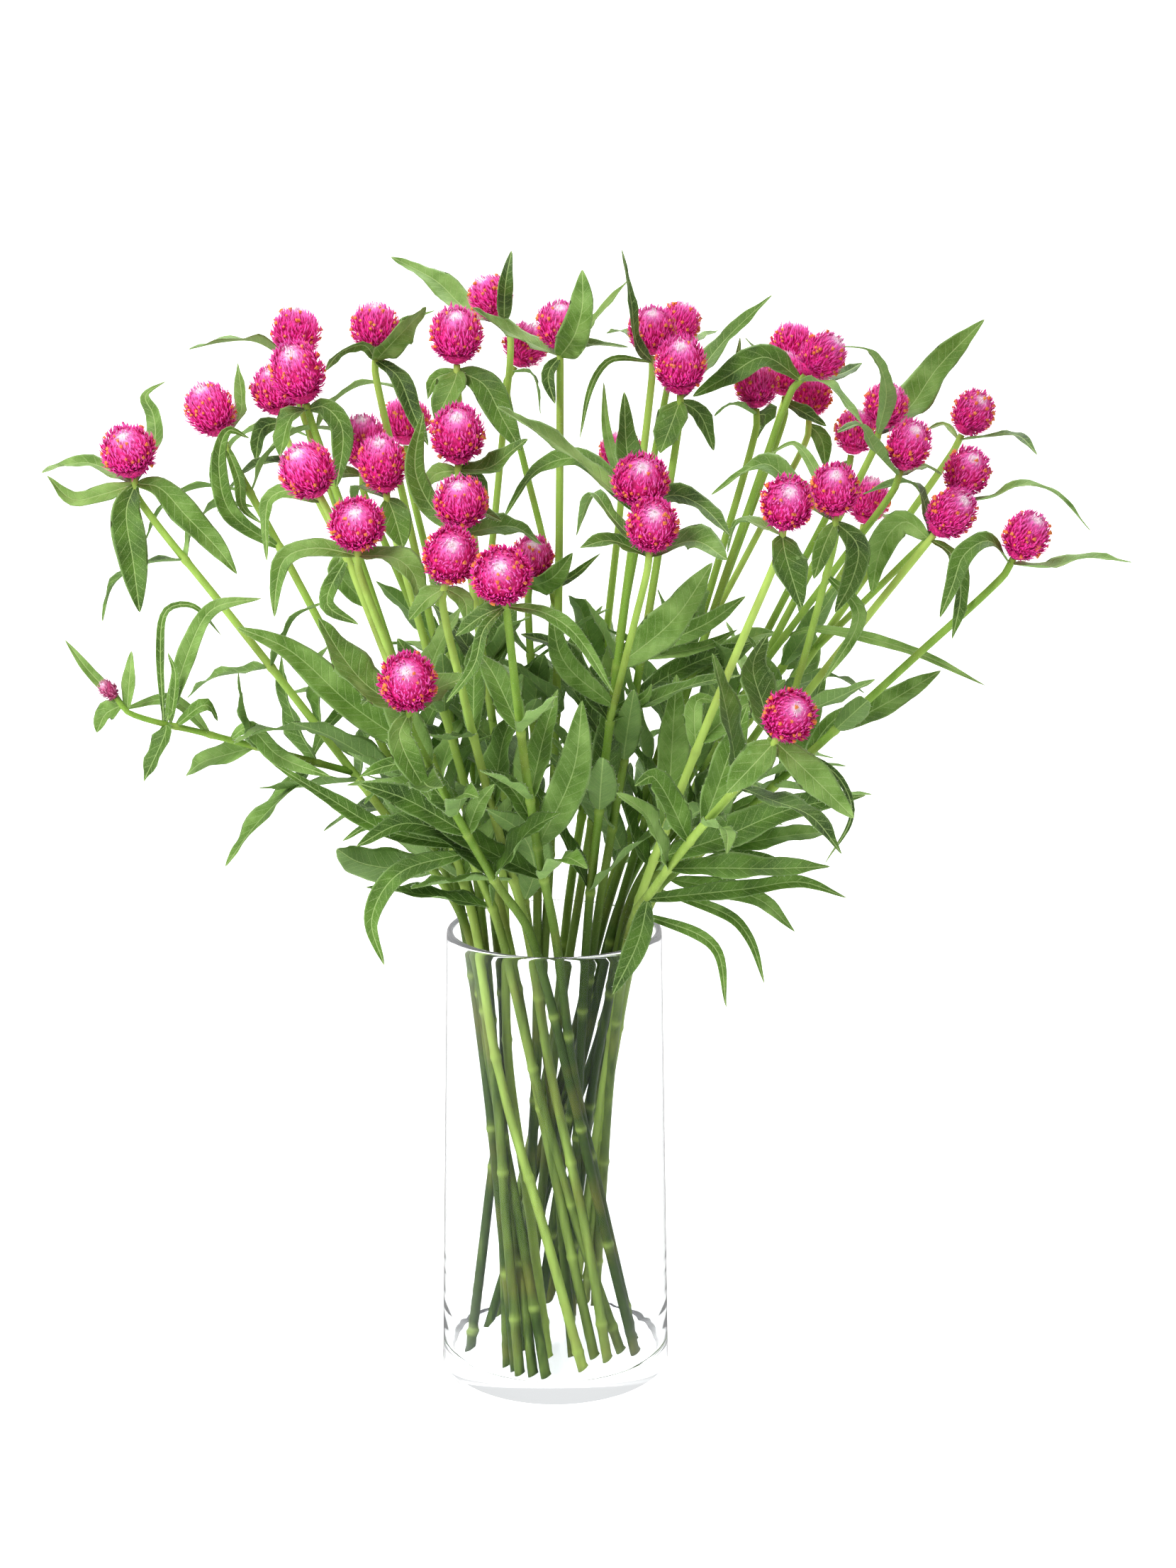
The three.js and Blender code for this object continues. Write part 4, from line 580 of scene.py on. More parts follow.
def placeLeaf(leaf, most=len(tries)):
    n = len(leaf["route"]) - 1
    centre = mix(leaf["route"][0], leaf["route"][n], 0.5)
    near = nearby(leaf, centre, lengthOf(leaf["route"] - centre).max() + leaf["width"])
    s = (np.arange(n + 1) / n)[:, None]
    shapes = {}
    for slim, shift, bow, turned in tries[:most]:
        shape = shapes.get((shift, bow))
        if shape is None:
            route = leaf["route"] + leaf["depth"] * (shift * s + bow * 4 * s * (1 - s))
            reach = lengthOf(route[1:] - route[:-1]).sum()
            steps = math.ceil(reach / leafRule["ringStep"])
            middle = pointsOn(route, np.arange(steps + 1) / steps)
            free = isClear(leaf, midribSamples(middle, reach), near)
            shape = {"free": free, "route": route, "reach": reach}
            if free:
                chord = unit(route[n] - route[0])
                side = unit(np.cross(chord, leaf["aspect"]))
                face = np.cross(side, chord) * np.cos(rolls) + side * np.sin(rolls)
                shape["frames"] = leafFrames(middle, face)
            shapes[(shift, bow)] = shape
        if not shape["free"]:
            continue
        frames = {"middle": shape["frames"]["middle"], "up": shape["frames"]["up"][turned],
                  "across": shape["frames"]["across"][turned]}
        reach = shape["reach"]
        width = leaf["width"] * slim
        rings = 5 if reach > 42 else 4 if reach > 20 else 3
        if not isUnfolded(frames, width, rings, shape["route"][-1]):
            continue
        samples = leafSamples(frames, width, reach)
        if isClear(leaf, samples, near):
            placedLeaves.append({**leaf, "route": shape["route"], "frames": frames, "rings": rings,
                                 "length": reach, "width": width, "samples": samples, "centre": centre,
                                 "radius": lengthOf(samples[:, :3] - centre).max()})
            return True
    return False


def leafOf(chain, width, route, depth, aspect):
    return {"number": chain["number"], "spray": chain["spray"], "width": width, "route": np.array(route),
            "depth": depth, "aspect": aspect}


# A leaf as read: its root, then the midrib's points as seen, farther and farther behind the root
def leafAsSeen(chain, root, width, tipBack, points):
    n = len(points)
    route = [root] + [seen(x, z, root[1] + tipBack * (i + 1) / n) for i, (x, z) in enumerate(points)]
    sight = unit(root - np.array([eye["across"], -eye["distance"], eye["height"]]))
    return leafOf(chain, width, route, sight, unit(np.array([draw(-0.35, 0.35), -0.8, 0.6])))


def leafUnderHead(number, width, tipBack, *points):
    bloom = blooms[number - 1]
    return leafAsSeen(bloom, bloom["stemTop"] - bloom["axis"] * leafRule["root"], width, tipBack, points)


def leafOnStem(back, width, tipBack, first, *points):
    p = seen(first[0], first[1], back)
    k = int(np.argmin(toParts(p, partStart, partEnd)))
    along = partEnd[k] - partStart[k]
    root = mix(partStart[k], partEnd[k], clamp(dot(p - partStart[k], along) / dot(along, along), 0, 1))
    return leafAsSeen(stems[int(partNumber[k]) - 1], root, width, tipBack, points)


def trianglesOf(leaf):
    return leaf["rings"] * (6 if leaf["width"] < leafRule["creasedWidth"] else 8)


# Leaf pairs at the joints of the stems, as many as the plant still needs
def jointLeaves():
    total = sum(trianglesOf(leaf) for leaf in placedLeaves)
    for level in range(leafRule["levels"]):
        for chain in stems:
            left = leafRule["jointStart"] + level * leafRule["jointSpacing"] + draw(-10, 10)
            size = draw(*leafRule["jointLength"])
            width = draw(*leafRule["jointWidth"])
            turn = draw(0, 2 * math.pi)
            points = chain["points"]
            for i in range(len(points) - 2, (0 if chain["parent"] else 3) - 1, -1):
                a, b = points[i + 1], points[i]
                span = lengthOf(a - b)
                if left > span:
                    left -= span
                    continue
                root = mix(a, b, left / span)
                up = unit(a - b)
                u, v = spokes(up)
                for side in (0, 1):
                    if total > leafRule["wanted"]:
                        return
                    way = turn + side * math.pi
                    out = u * math.cos(way) + v * math.sin(way)
                    route = [root + out * size * far + up * size * high for far, high in leafRule["path"]]
                    route = [root] + route
                    leaf = leafOf(chain, width, route, np.cross(out, up), unit(up - out * 0.2))
                    if placeLeaf(leaf):
                        total += trianglesOf(placedLeaves[-1])
                break


for row in headLeaves:
    placeLeaf(leafUnderHead(*row))
for row in stemLeaves:
    placeLeaf(leafOnStem(*row))
jointLeaves()
print("leaves placed:", len(placedLeaves))


# Joints that still have no leaf, from the lowest up: height, stem, place and the stem's direction there
def bareJoints():
    bare = []
    for chain in stems:
        points = chain["points"]
        marks = marksOf(points)
        first = marks[0] + 12 if chain["parent"] else marks[3] + 5
        taken = [o["route"][0] for o in placedLeaves if o["number"] == chain["number"]]
        at = marks[-1] - leafRule["jointStart"]
        while at > first:
            root = pointsOn(points, [at / marks[-1]])[0]
            if all(lengthOf(other - root) > fillRule["bare"] for other in taken):
                up = unit(pointsOn(points, [(at + 1) / marks[-1]])[0] - root)
                bare.append((float(root[2]), chain, root, up))
            at -= fillRule["spacing"] + draw(-8, 8)
    return sorted(bare, key=lambda row: row[0])


# The rest of the leaves: large and steep low down
def fillBareJoints():
    leafRule.update(clearance=fillRule["clearance"], stemGap=fillRule["stemGap"], headGap=fillRule["headGap"])
    lowest, highest = fillRule["heights"]
    made = 0
    for height, chain, root, up in bareJoints():
        grown = clamp((height - lowest) / (highest - lowest), 0, 1)
        u, v = spokes(up)
        turn = draw(0, 2 * math.pi)
        for side in (0, 1):
            size = mix(*fillRule["length"], grown) * draw(0.75, 1.15)
            width = mix(*fillRule["width"], grown) * draw(0.8, 1.15)
            steep = draw(*fillRule["steep"]) * (1 - fillRule["flatter"] * grown)
            out = u * math.cos(turn + side * math.pi) + v * math.sin(turn + side * math.pi)
            way = out * math.cos(steep) + up * math.sin(steep)
            droop = draw(*fillRule["droop"]) * size
            route = [root, root + way * size * 0.3, root + way * size * 0.64 + out * size * 0.03,
                     root + way * size * 0.96 + out * size * 0.1 - up * droop]
            if made < fillRule["most"]:
                leaf = leafOf(chain, width, route, np.cross(out, up), unit(up - out * 0.2))
                made += placeLeaf(leaf, fillRule["tries"])
    return made


print("further leaves:", fillBareJoints())


# Four-sided faces between neighbouring rings of n points
def ringQuads(count, n):
    i = np.arange(n)
    j = (i + 1) % n
    low = np.arange(count - 1)[:, None] * n
    return i, j, np.stack([low + i, low + j, low + n + j, low + n + i], -1).reshape(-1, 4)


# A closed skin: rings of points joined into one surface with a flat start, and a tip or a flat end
def skin(rings, tip=None):
    count, n = rings.shape[:2]
    i, j, quads = ringQuads(count, n)
    tip = rings[-1].mean(0) if tip is None else tip
    points = np.concatenate([rings.reshape(-1, 3), [rings[0].mean(0), tip]])
    start = np.stack([np.full(n, count * n), j, i], -1)
    end = np.stack([np.full(n, count * n + 1), (count - 1) * n + i, (count - 1) * n + j], -1)
    return points, quads, np.concatenate([start, end])


# Many alike skins at once: rings has one more axis in front, and each has its own tip
def manySkins(rings, tips):
    many, count, n = rings.shape[:3]
    i, j, quads = ringQuads(count, n)
    top = (count - 1) * n
    triangles = np.concatenate([np.stack([np.full(n, count * n), top + i, top + j], -1),
                                np.stack([np.zeros(n - 2, int), i[2:], i[1:-1]], -1)])
    points = np.concatenate([rings.reshape(many, -1, 3), tips[:, None]], 1)
    shift = np.arange(many)[:, None, None] * (count * n + 1)
    return points.reshape(-1, 3), (quads + shift).reshape(-1, 4), (triangles + shift).reshape(-1, 3)


class Mould:
    # gathers skins, each with its material and what its shader reads, and makes one object of them
    def __init__(self):
        self.points, self.quads, self.triangles, self.marks, self.kinds, self.size = [], [], [], [], [], 0

    def add(self, points, quads, triangles, material, **marks):
        self.points.append(points)
        self.quads.append(quads + self.size)
        self.triangles.append(triangles + self.size)
        self.marks.append({name: np.broadcast_to(value, (len(points), 3)) for name, value in marks.items()})
        self.kinds.append((material, len(quads), len(triangles), len(points)))
        self.size += len(points)

    def make(self, name, materials, node):
        quads, triangles = np.concatenate(self.quads), np.concatenate(self.triangles)
        mesh = bpy.data.meshes.new(name)
        mesh.vertices.add(self.size)
        mesh.vertices.foreach_set("co", (np.concatenate(self.points) * 0.001).astype(np.float32).ravel())
        corners = np.concatenate([quads.ravel(), triangles.ravel()]).astype(np.int32)
        mesh.loops.add(len(corners))
        mesh.loops.foreach_set("vertex_index", corners)
        starts = np.concatenate([np.arange(len(quads)) * 4, len(quads) * 4 + np.arange(len(triangles)) * 3])
        mesh.polygons.add(len(starts))
        mesh.polygons.foreach_set("loop_start", starts.astype(np.int32))
        kinds = [np.full(q, m) for m, q, t, p in self.kinds] + [np.full(t, m) for m, q, t, p in self.kinds]
        mesh.polygons.foreach_set("material_index", np.concatenate(kinds).astype(np.int32))
        mesh.polygons.foreach_set("use_smooth", np.full(len(starts), True))
        for mark in sorted({key for marks in self.marks for key in marks}):
            values = [m.get(mark, np.zeros((kind[3], 3))) for m, kind in zip(self.marks, self.kinds)]
            layer = mesh.attributes.new(mark, "FLOAT_VECTOR", "POINT")
            layer.data.foreach_set("vector", np.concatenate(values).astype(np.float32).ravel())
        mesh.update(calc_edges=True)
        mesh.validate()
        for material in materials:
            mesh.materials.append(material)
        piece = bpy.data.objects.new(name, mesh)
        bpy.context.scene.collection.objects.link(piece)
        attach(piece, "root")
        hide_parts(node)


# A node's output, so that shader maths reads as plain sums
class Wire:
    def __init__(self, paint, socket):
        self.paint = paint
        self.socket = socket

    def maths(self, operation, first, second):
        return self.paint.node("ShaderNodeMath", {"operation": operation}, {0: first, 1: second})

    def __add__(self, other):
        return self.maths("ADD", self, other)

    def __radd__(self, other):
        return self.maths("ADD", other, self)

    def __sub__(self, other):
        return self.maths("SUBTRACT", self, other)

    def __rsub__(self, other):
        return self.maths("SUBTRACT", other, self)

    def __mul__(self, other):
        return self.maths("MULTIPLY", self, other)

    def __rmul__(self, other):
        return self.maths("MULTIPLY", other, self)

    def __abs__(self):
        return self.maths("ABSOLUTE", self, 0.0)


class Paint:
    def __init__(self, name, sky=False):
        self.material = (bpy.data.worlds if sky else bpy.data.materials).new(name)
        self.material.use_nodes = True
        self.tree = self.material.node_tree
        self.tree.nodes.clear()
        self.surface = self.tree.nodes.new("ShaderNodeOutputWorld" if sky else "ShaderNodeOutputMaterial")

    def node(self, kind, settings=None, inputs=None, output=0):
        made = self.tree.nodes.new(kind)
        for name, value in (settings or {}).items():
            if name == "stops":
                while len(made.color_ramp.elements) < len(value):
                    made.color_ramp.elements.new(0.5)
                for element, (place, colour) in zip(made.color_ramp.elements, value):
                    element.position = place
                    element.color = (*colour, 1)
            else:
                setattr(made, name, value)
        for name, value in (inputs or {}).items():
            self.plug(made.inputs[name], value)
        return Wire(self, made.outputs[output])

    def plug(self, socket, value):
        if isinstance(value, Wire):
            self.tree.links.new(value.socket, socket)
        elif hasattr(socket.default_value, "__len__") and len(socket.default_value) == 4 and len(value) == 3:
            socket.default_value = (*value, 1)
        else:
            socket.default_value = value

    # parts of a vector that the mesh carries at each of its points
    def mark(self, name, axes="XYZ"):
        vector = self.node("ShaderNodeAttribute", {"attribute_name": name}, {}, "Vector")
        return [self.node("ShaderNodeSeparateXYZ", {}, {"Vector": vector}, axis) for axis in axes]

    def noise(self, scale, detail=2.0, stretch=None):
        place = self.node("ShaderNodeTexCoord", {}, {}, "Object")
        if stretch:
            place = self.node("ShaderNodeVectorMath", {"operation": "MULTIPLY"}, {0: place, 1: stretch})
        return self.node("ShaderNodeTexNoise", {}, {"Vector": place, "Scale": scale, "Detail": detail}, "Fac")

    def blend(self, factor, first, second):
        return self.node("ShaderNodeMix", {"data_type": "RGBA"}, {0: factor, 6: first, 7: second}, 2)

    def ramp(self, factor, stops):
        return self.node("ShaderNodeValToRGB", {"stops": stops}, {"Fac": factor}, "Color")

    # rises from 0 to 1 as the value goes from low to high
    def step(self, value, low, high):
        return self.node("ShaderNodeMapRange", {"interpolation_type": "SMOOTHSTEP"},
                         {"Value": value, "From Min": low, "From Max": high, "To Min": 0.0, "To Max": 1.0})

    def bump(self, height, strength, distance):
        return self.node("ShaderNodeBump", {}, {"Height": height, "Strength": strength, "Distance": distance},
                         "Normal")

    def finish(self, **sockets):
        names = {name.replace("_", " "): value for name, value in sockets.items()}
        shader = self.node("ShaderNodeBsdfPrincipled", {}, names, "BSDF")
        self.tree.links.new(shader.socket, self.surface.inputs["Surface"])
        return self.material


# Vase
glassLook = {"tint": (0.965, 0.978, 0.985), "ior": 1.47, "mirror": (0.22, 0.23, 0.26), "mirrorings": 2.5,
             "ripple": 0.28, "rippleHeight": 16, "ripplePitch": 1.15}


def arc(centre, radius, first, last, count):
    turns = np.radians(np.linspace(first, last, count))
    return [(centre[0] + radius * math.cos(a), centre[1] + radius * math.sin(a)) for a in turns]


# Lets the lamps through, and also what the thick foot has already mirrored a few times
def glassMaterial():
    paint = Paint("clear glass")
    glass = paint.node("ShaderNodeBsdfPrincipled", {}, {
        "Base Color": glassLook["tint"], "Roughness": 0.0, "IOR": glassLook["ior"],
        "Transmission Weight": 1.0, "Specular Tint": glassLook["mirror"]}, "BSDF")
    clear = paint.node("ShaderNodeBsdfTransparent", {}, {"Color": glassLook["tint"]}, "BSDF")
    lamp = paint.node("ShaderNodeLightPath", {}, {}, "Is Shadow Ray")
    mirrored = paint.node("ShaderNodeLightPath", {}, {}, "Glossy Depth")
    often = mirrored.maths("GREATER_THAN", mirrored, glassLook["mirrorings"])
    through = lamp.maths("MAXIMUM", lamp, often)
    mixed = paint.node("ShaderNodeMixShader", {}, {0: through, 1: glass, 2: clear}, "Shader")
    paint.tree.links.new(mixed.socket, paint.surface.inputs["Surface"])
    return paint.material


# One outline turned round: the foot, the outside, the lip, the rippled inside and the floor
def makeVase():
    n, corner, lip = vase["sides"], vase["corner"], vase["wall"] / 2
    rim, floor = vase["height"], vase["floor"]
    foot = vase["footRadius"] - corner
    profile = [(r, 0.0) for r in (3, 15, 30, 40, foot - 0.6)] + arc((foot, corner), corner, -88, 0, 9)
    profile += [(vaseOuter(z), z) for z in np.linspace(12, rim - 4, 9)]
    profile += arc((vase["rimRadius"] - lip, rim - lip), lip, 0, 180, 11)
    for z in [*np.linspace(rim - 4, 70, 7), *np.linspace(66, floor + corner + 1, 26)]:
        low = math.exp(-(z - floor - corner) / glassLook["rippleHeight"])
        wave = math.sin(z * glassLook["ripplePitch"] + math.sin(z * 0.31) * 1.6)
        profile.append((vaseInner(z) - low * (0.5 + glassLook["ripple"] * wave), z))
    inner = vaseInner(floor) - corner - 0.5
    profile += arc((inner, floor + corner), corner, 0, -90, 7)
    profile += [(r, floor) for r in (inner - 0.6, 36, 28, 16, 3)]
    turns = np.linspace(0, 2 * math.pi, n, endpoint=False)
    rings = np.array([[(r * math.cos(a), r * math.sin(a), z) for a in turns] for r, z in profile])
    mould = Mould()
    mould.add(*skin(rings), 0)
    mould.make("glass_vase", [glassMaterial()], "vase")


makeVase()
print("vase made")


# Flower heads
# Head colours: darker bract roots, darker low bracts and a darker heart are painted shade; the paler tone is
# partly the bracts' own and partly a painted highlight up top
headLook = {"bracts": 860, "bractLength": 0.46, "bractWidth": 0.039, "tips": 1.055, "florets": 40,
            "floretSize": 0.85, "core": 0.84, "nod": 0.62, "nodAway": 0.4, "front": 60,
            "hot": (1.0, 0.03, 0.40), "rootShade": (0.74, 0.002, 0.19), "paleAndHighlight": (1.0, 0.30, 0.80),
            "cream": (1.0, 0.84, 0.90), "skirt": (0.62, 0.004, 0.24), "heart": (0.50, 0.002, 0.12),
            "heartLight": (0.90, 0.015, 0.30), "floret": (1.0, 0.22, 0.03), "throat": (1.0, 0.52, 0.12),
            "floretFoot": (0.95, 0.20, 0.12)}
budLook = {**headLook, "bracts": 120, "bractLength": 0.75, "bractWidth": 0.11, "tips": 1.2,
           "hot": (0.56, 0.10, 0.26), "rootShade": (0.33, 0.02, 0.11), "paleAndHighlight": (0.80, 0.42, 0.60),
           "cream": (0.86, 0.55, 0.68), "skirt": (0.42, 0.03, 0.15), "heart": (0.34, 0.02, 0.10),
           "heartLight": (0.60, 0.07, 0.24)}
goldenAngle = 2.399963


def bractMaterial(name, look):
    paint = Paint(name)
    along, lift, seed = paint.mark("bract")
    grain = paint.noise(900.0, 2.0)
    # darker towards each bract's root: painted shade where the bracts crowd together
    colour = paint.blend(paint.step(along, 0.2, 0.75), look["rootShade"], look["hot"])
    # darker bracts low on the head: painted shade under the head
    colour = paint.blend((1 - paint.step(lift, 0.16, 0.52)) * 0.85, colour, look["skirt"])
    # paler upper head: painted highlight where the light falls, plus bracts that are paler of their own at
    # random
    high = paint.step(lift, 0.62, 0.93)
    light = paint.step(seed + (grain - 0.5) * 0.5, 0.3, 1.0) * (0.2 + high * 0.2) + high * 0.4
    colour = paint.blend(light, colour, look["paleAndHighlight"])
    # paler tips, the bracts' own tone, stronger on the upper head as painted highlight
    colour = paint.blend(paint.step(along, 0.7, 1.0) * (0.25 + high * 0.25), colour, look["paleAndHighlight"])
    # cream crown: the young bracts' own colour, and partly a painted highlight
    colour = paint.blend(paint.step(lift + seed * 0.03, 0.88, 0.98), colour, look["cream"])
    bump = paint.bump(paint.noise(2600.0, 2.0), 0.25, 0.0002)
    return paint.finish(Base_Color=colour, Roughness=0.45 + grain * 0.2, Normal=bump, Specular_IOR_Level=0.25)


def floretMaterial():
    paint = Paint("open florets")
    along, seed = paint.mark("bract", "XZ")
    colour = paint.blend(seed * 0.5, headLook["floret"], headLook["throat"])
    colour = paint.blend(1 - paint.step(along, 0.2, 0.7), colour, headLook["floretFoot"])
    return paint.finish(Base_Color=colour, Roughness=0.5)


# The heart is as light round the crown as the bracts over it, and darker elsewhere: painted shade in the gaps
# between them
def heartMaterial(name, look):
    paint = Paint(name)
    [lift] = paint.mark("bract", "Y")
    speckle = paint.noise(900.0, 3.0)
    colour = paint.blend(paint.step(speckle, 0.35, 0.7), look["heart"], look["heartLight"])
    colour = paint.blend(paint.step(lift, 0.74, 0.92) * 0.6, colour, look["paleAndHighlight"])
    colour = paint.blend(paint.step(lift, 0.88, 0.97) * 0.9, colour, look["cream"])
    return paint.finish(Base_Color=colour, Roughness=0.7)


# Turns the upright direction to the head's axis
def uprightTo(axis):
    v = np.cross([0, 0, 1], axis)
    k = np.array([[0, -v[2], v[1]], [v[2], 0, -v[0]], [-v[1], v[0], 0]])
    return np.eye(3) + k + k @ k / (1 + axis[2])


# Points of an egg shape, with the directions that stand on it and that run up it
def onGlobe(lift, turn, rx, rz):
    ring = np.sin(lift)
    out = np.stack([np.cos(turn) * ring * rx, np.sin(turn) * ring * rx, -np.cos(lift) * rz], -1)
    normal = unit(out / np.array([rx * rx, rx * rx, rz * rz]))
    rise = unit(np.stack([np.cos(turn) * np.cos(lift) * rx, np.sin(turn) * np.cos(lift) * rx, ring * rz], -1))
    return out, normal, rise


# What the shaders read: share of the way to the tip, height on the head, and a number of its own
def bractMarks(shares, lift, rng):
    marks = np.zeros((len(lift), len(shares), 3))
    marks[:, :, 0] = shares
    marks[:, :, 1] = (lift / math.pi)[:, None]
    marks[:, :, 2] = rng.uniform(0, 1, len(lift))[:, None]
    return marks.reshape(-1, 3)


# A smooth heart that closes the gaps between the bracts, and a neck that meets the stem
def addHeart(mould, place, pole, core, rx, rz):
    around = np.linspace(0, 2 * math.pi, 18, endpoint=False)
    rings = np.array([onGlobe(np.full(len(around), lift), around, rx * core, rz * core)[0]
                      for lift in np.linspace(0.12, math.pi - 0.12, 12)])
    points, quads, triangles = skin(rings)
    nearCrown = 1 - np.arccos(np.clip(dot(unit(points), pole), -1, 1)) / math.pi
    marks = np.stack([nearCrown * 0, nearCrown, nearCrown * 0], -1)
    mould.add(place(points), quads, triangles, 1, bract=marks)
    neck = np.array([[(rx * k * math.cos(a), rx * k * math.sin(a), -rz * z) for a in around]
                     for k, z in ((0.15, 1.0), (0.24, 0.98), (0.42, 0.88), (0.58, 0.7))])
    points, quads, triangles = skin(neck)
    mould.add(place(points), quads, triangles, 1, bract=(0.2, 0.1, 0.5))


# Bracts in close rows round the crown: upright on the crown, lying up the sides, loose in the skirt below
def addBracts(mould, place, pole, look, rx, rz, rng):
    count = look["bracts"]
    k = np.arange(count)
    low, high = math.cos(0.3), math.cos(3.12)
    lift = np.arccos(low + (high - low) * (1 - (1 - (k + 0.5) / count) ** 1.2)) + rng.normal(0, 0.04, count)
    turn = k * goldenAngle + rng.normal(0, 0.16, count)
    ball = onGlobe(lift, turn, 1, 1)[0]
    s, c = -pole[1], pole[2]
    tipped = ball @ np.array([[1, 0, 0], [0, c, s], [0, -s, c]])
    tipped = unit(mix(ball, tipped, np.clip(ball[:, 2:] + 0.55, 0, 1)))
    tipped = np.where(ball[:, 2:] < -0.55, ball, tipped)
    stretch = np.array([rx, rx, rz])
    out = tipped * stretch
    normal = unit(tipped / stretch)
    rise = unit(pole - normal * dot(normal, pole)[:, None] + rng.normal(0, 0.10, (count, 3)))
    crown = np.clip((lift - 2.35) / 0.7, 0, 1)
    skirt = np.clip((1.1 - lift) / 0.6, 0, 1)
    outward = normal * (0.76 + 0.2 * crown + 0.2 * skirt)[:, None]
    way = outward + rise * (0.66 - 0.3 * crown - 0.36 * skirt)[:, None]
    way = unit(way + rng.normal(0, 0.13, (count, 3)))
    tips = out * (look["tips"] + rng.normal(0, 0.05, count) - 0.07 * crown)[:, None]
    long = look["bractLength"] * rx * rng.uniform(0.8, 1.15, count) * (1 - 0.25 * crown)
    face = unit(normal - way * dot(normal, way)[:, None])
    side = np.cross(face, way)
    wide = look["bractWidth"] * rx * rng.uniform(0.75, 1.25, count) * (1 - 0.3 * crown)
    shares = (0.0, 0.46)
    rings = []
    for share, girth in zip(shares, (0.8, 1.0)):
        bulge = face * (long * 0.08 * math.sin(math.pi * share))[:, None]
        middle = tips - way * (long * (1 - share))[:, None] + bulge
        w = side * (wide * girth)[:, None]
        rings.append(np.stack([middle + w, middle + face * (wide * girth * 0.6)[:, None], middle - w], 1))
    points, quads, triangles = manySkins(np.stack(rings, 1), tips)
    marks = bractMarks([*np.repeat(shares, 3), 1], lift, rng)
    mould.add(place(points), quads, triangles, 0, bract=marks)


# Small open flowers between the bracts: a tube that opens into a five-pointed star
def addFlorets(mould, place, look, rx, rz, rng):
    count = look["florets"]
    lift = np.clip(rng.normal(1.6, 0.42, count), 0.8, 2.5)
    turn = np.arange(count) * goldenAngle * 3 + rng.normal(0, 0.3, count)
    out, normal, rise = onGlobe(lift, turn, rx, rz)
    way = unit(normal * 0.9 + rise * 0.3 + rng.normal(0, 0.2, (count, 3)))
    u = unit(np.cross(way, [0.3, 0.2, 1.0]))
    v = np.cross(way, u)
    size = look["floretSize"] * rng.uniform(0.7, 1.2, count)[:, None]
    rings = []
    for high, reach in ((-1.2, (0.4, 0.3)), (0.8, (1.0, 0.36))):
        ring = []
        for i in range(10):
            a = 2 * math.pi * i / 10
            ring.append(out + way * high * size + (u * math.cos(a) + v * math.sin(a)) * size * reach[i % 2])
        rings.append(np.stack(ring, 1))
    points, quads, triangles = manySkins(np.stack(rings, 1), out + way * 0.3 * size)
    marks = bractMarks([*np.repeat((0, 1), 10), 0], lift, rng)
    mould.add(place(points), quads, triangles, 2, bract=marks)


def makeHead(bloom):
    rng = np.random.default_rng(100 + bloom["number"])
    isBud = bloom["number"] == bunch["budNumber"]
    look, materials = (budLook, budMaterials) if isBud else (headLook, headMaterials)
    rx, rz = bloom["width"] / 2, bloom["height"] / 2
    turnUp = uprightTo(bloom["axis"])
    place = lambda p: p @ turnUp.T + bloom["centre"]
    atFront = bloom["centre"][1] < look["front"]
    nod = look["nod"] * rng.uniform(0.5, 1.15) * (1 if atFront else look["nodAway"])
    pole = np.array([0, -math.sin(nod), math.cos(nod)])  # the crown nods to the front
    mould = Mould()
    addHeart(mould, place, pole, look["core"], rx, rz)
    addBracts(mould, place, pole, look, rx, rz, rng)
    if not isBud:
        addFlorets(mould, place, look, rx, rz, rng)
    node = "bud" if isBud else "head_%02d" % bloom["number"]
    mould.make(node + "_bracts", materials, node)


headMaterials = [bractMaterial("papery bracts", headLook), heartMaterial("heart of the head", headLook),
                 floretMaterial()]
budMaterials = [bractMaterial("young bracts", budLook), heartMaterial("heart of the bud", budLook)]
for bloom in blooms:
    makeHead(bloom)
print("heads made:", len(blooms))


# Stems and leaves
# The stems' low green is painted shade for the stems in the vase and low in the bunch
stemLook = {"sides": 9, "flutes": 5, "flute": 0.05, "step": 3.6, "joint": 0.22, "jointLength": 3.2,
            "jointGap": 66, "hairs": 1.1, "hairLength": 0.8, "bald": 195, "light": (0.43, 0.61, 0.12),
            "green": (0.16, 0.31, 0.03), "low": (0.026, 0.056, 0.004), "joints": (0.30, 0.42, 0.08),
            "tan": (0.17, 0.155, 0.025)}
leafLook = {"step": 2.1, "columns": (0, 0.1, 0.42, 0.8, 1), "thickness": 0.32, "rib": 0.55, "ripple": 0.22,
            "veinGap": 4.6, "edgeHairs": 0.85, "hairLength": 0.9, "hairWidth": 0.08,
            "dark": (0.021, 0.058, 0.004), "mid": (0.090, 0.195, 0.018), "bright": (0.30, 0.48, 0.125),
            "ribs": (0.38, 0.54, 0.18), "under": (0.20, 0.34, 0.10), "down": (0.42, 0.60, 0.22),
            "hair": (0.62, 0.72, 0.48), "hairLight": (0.86, 0.90, 0.78)}


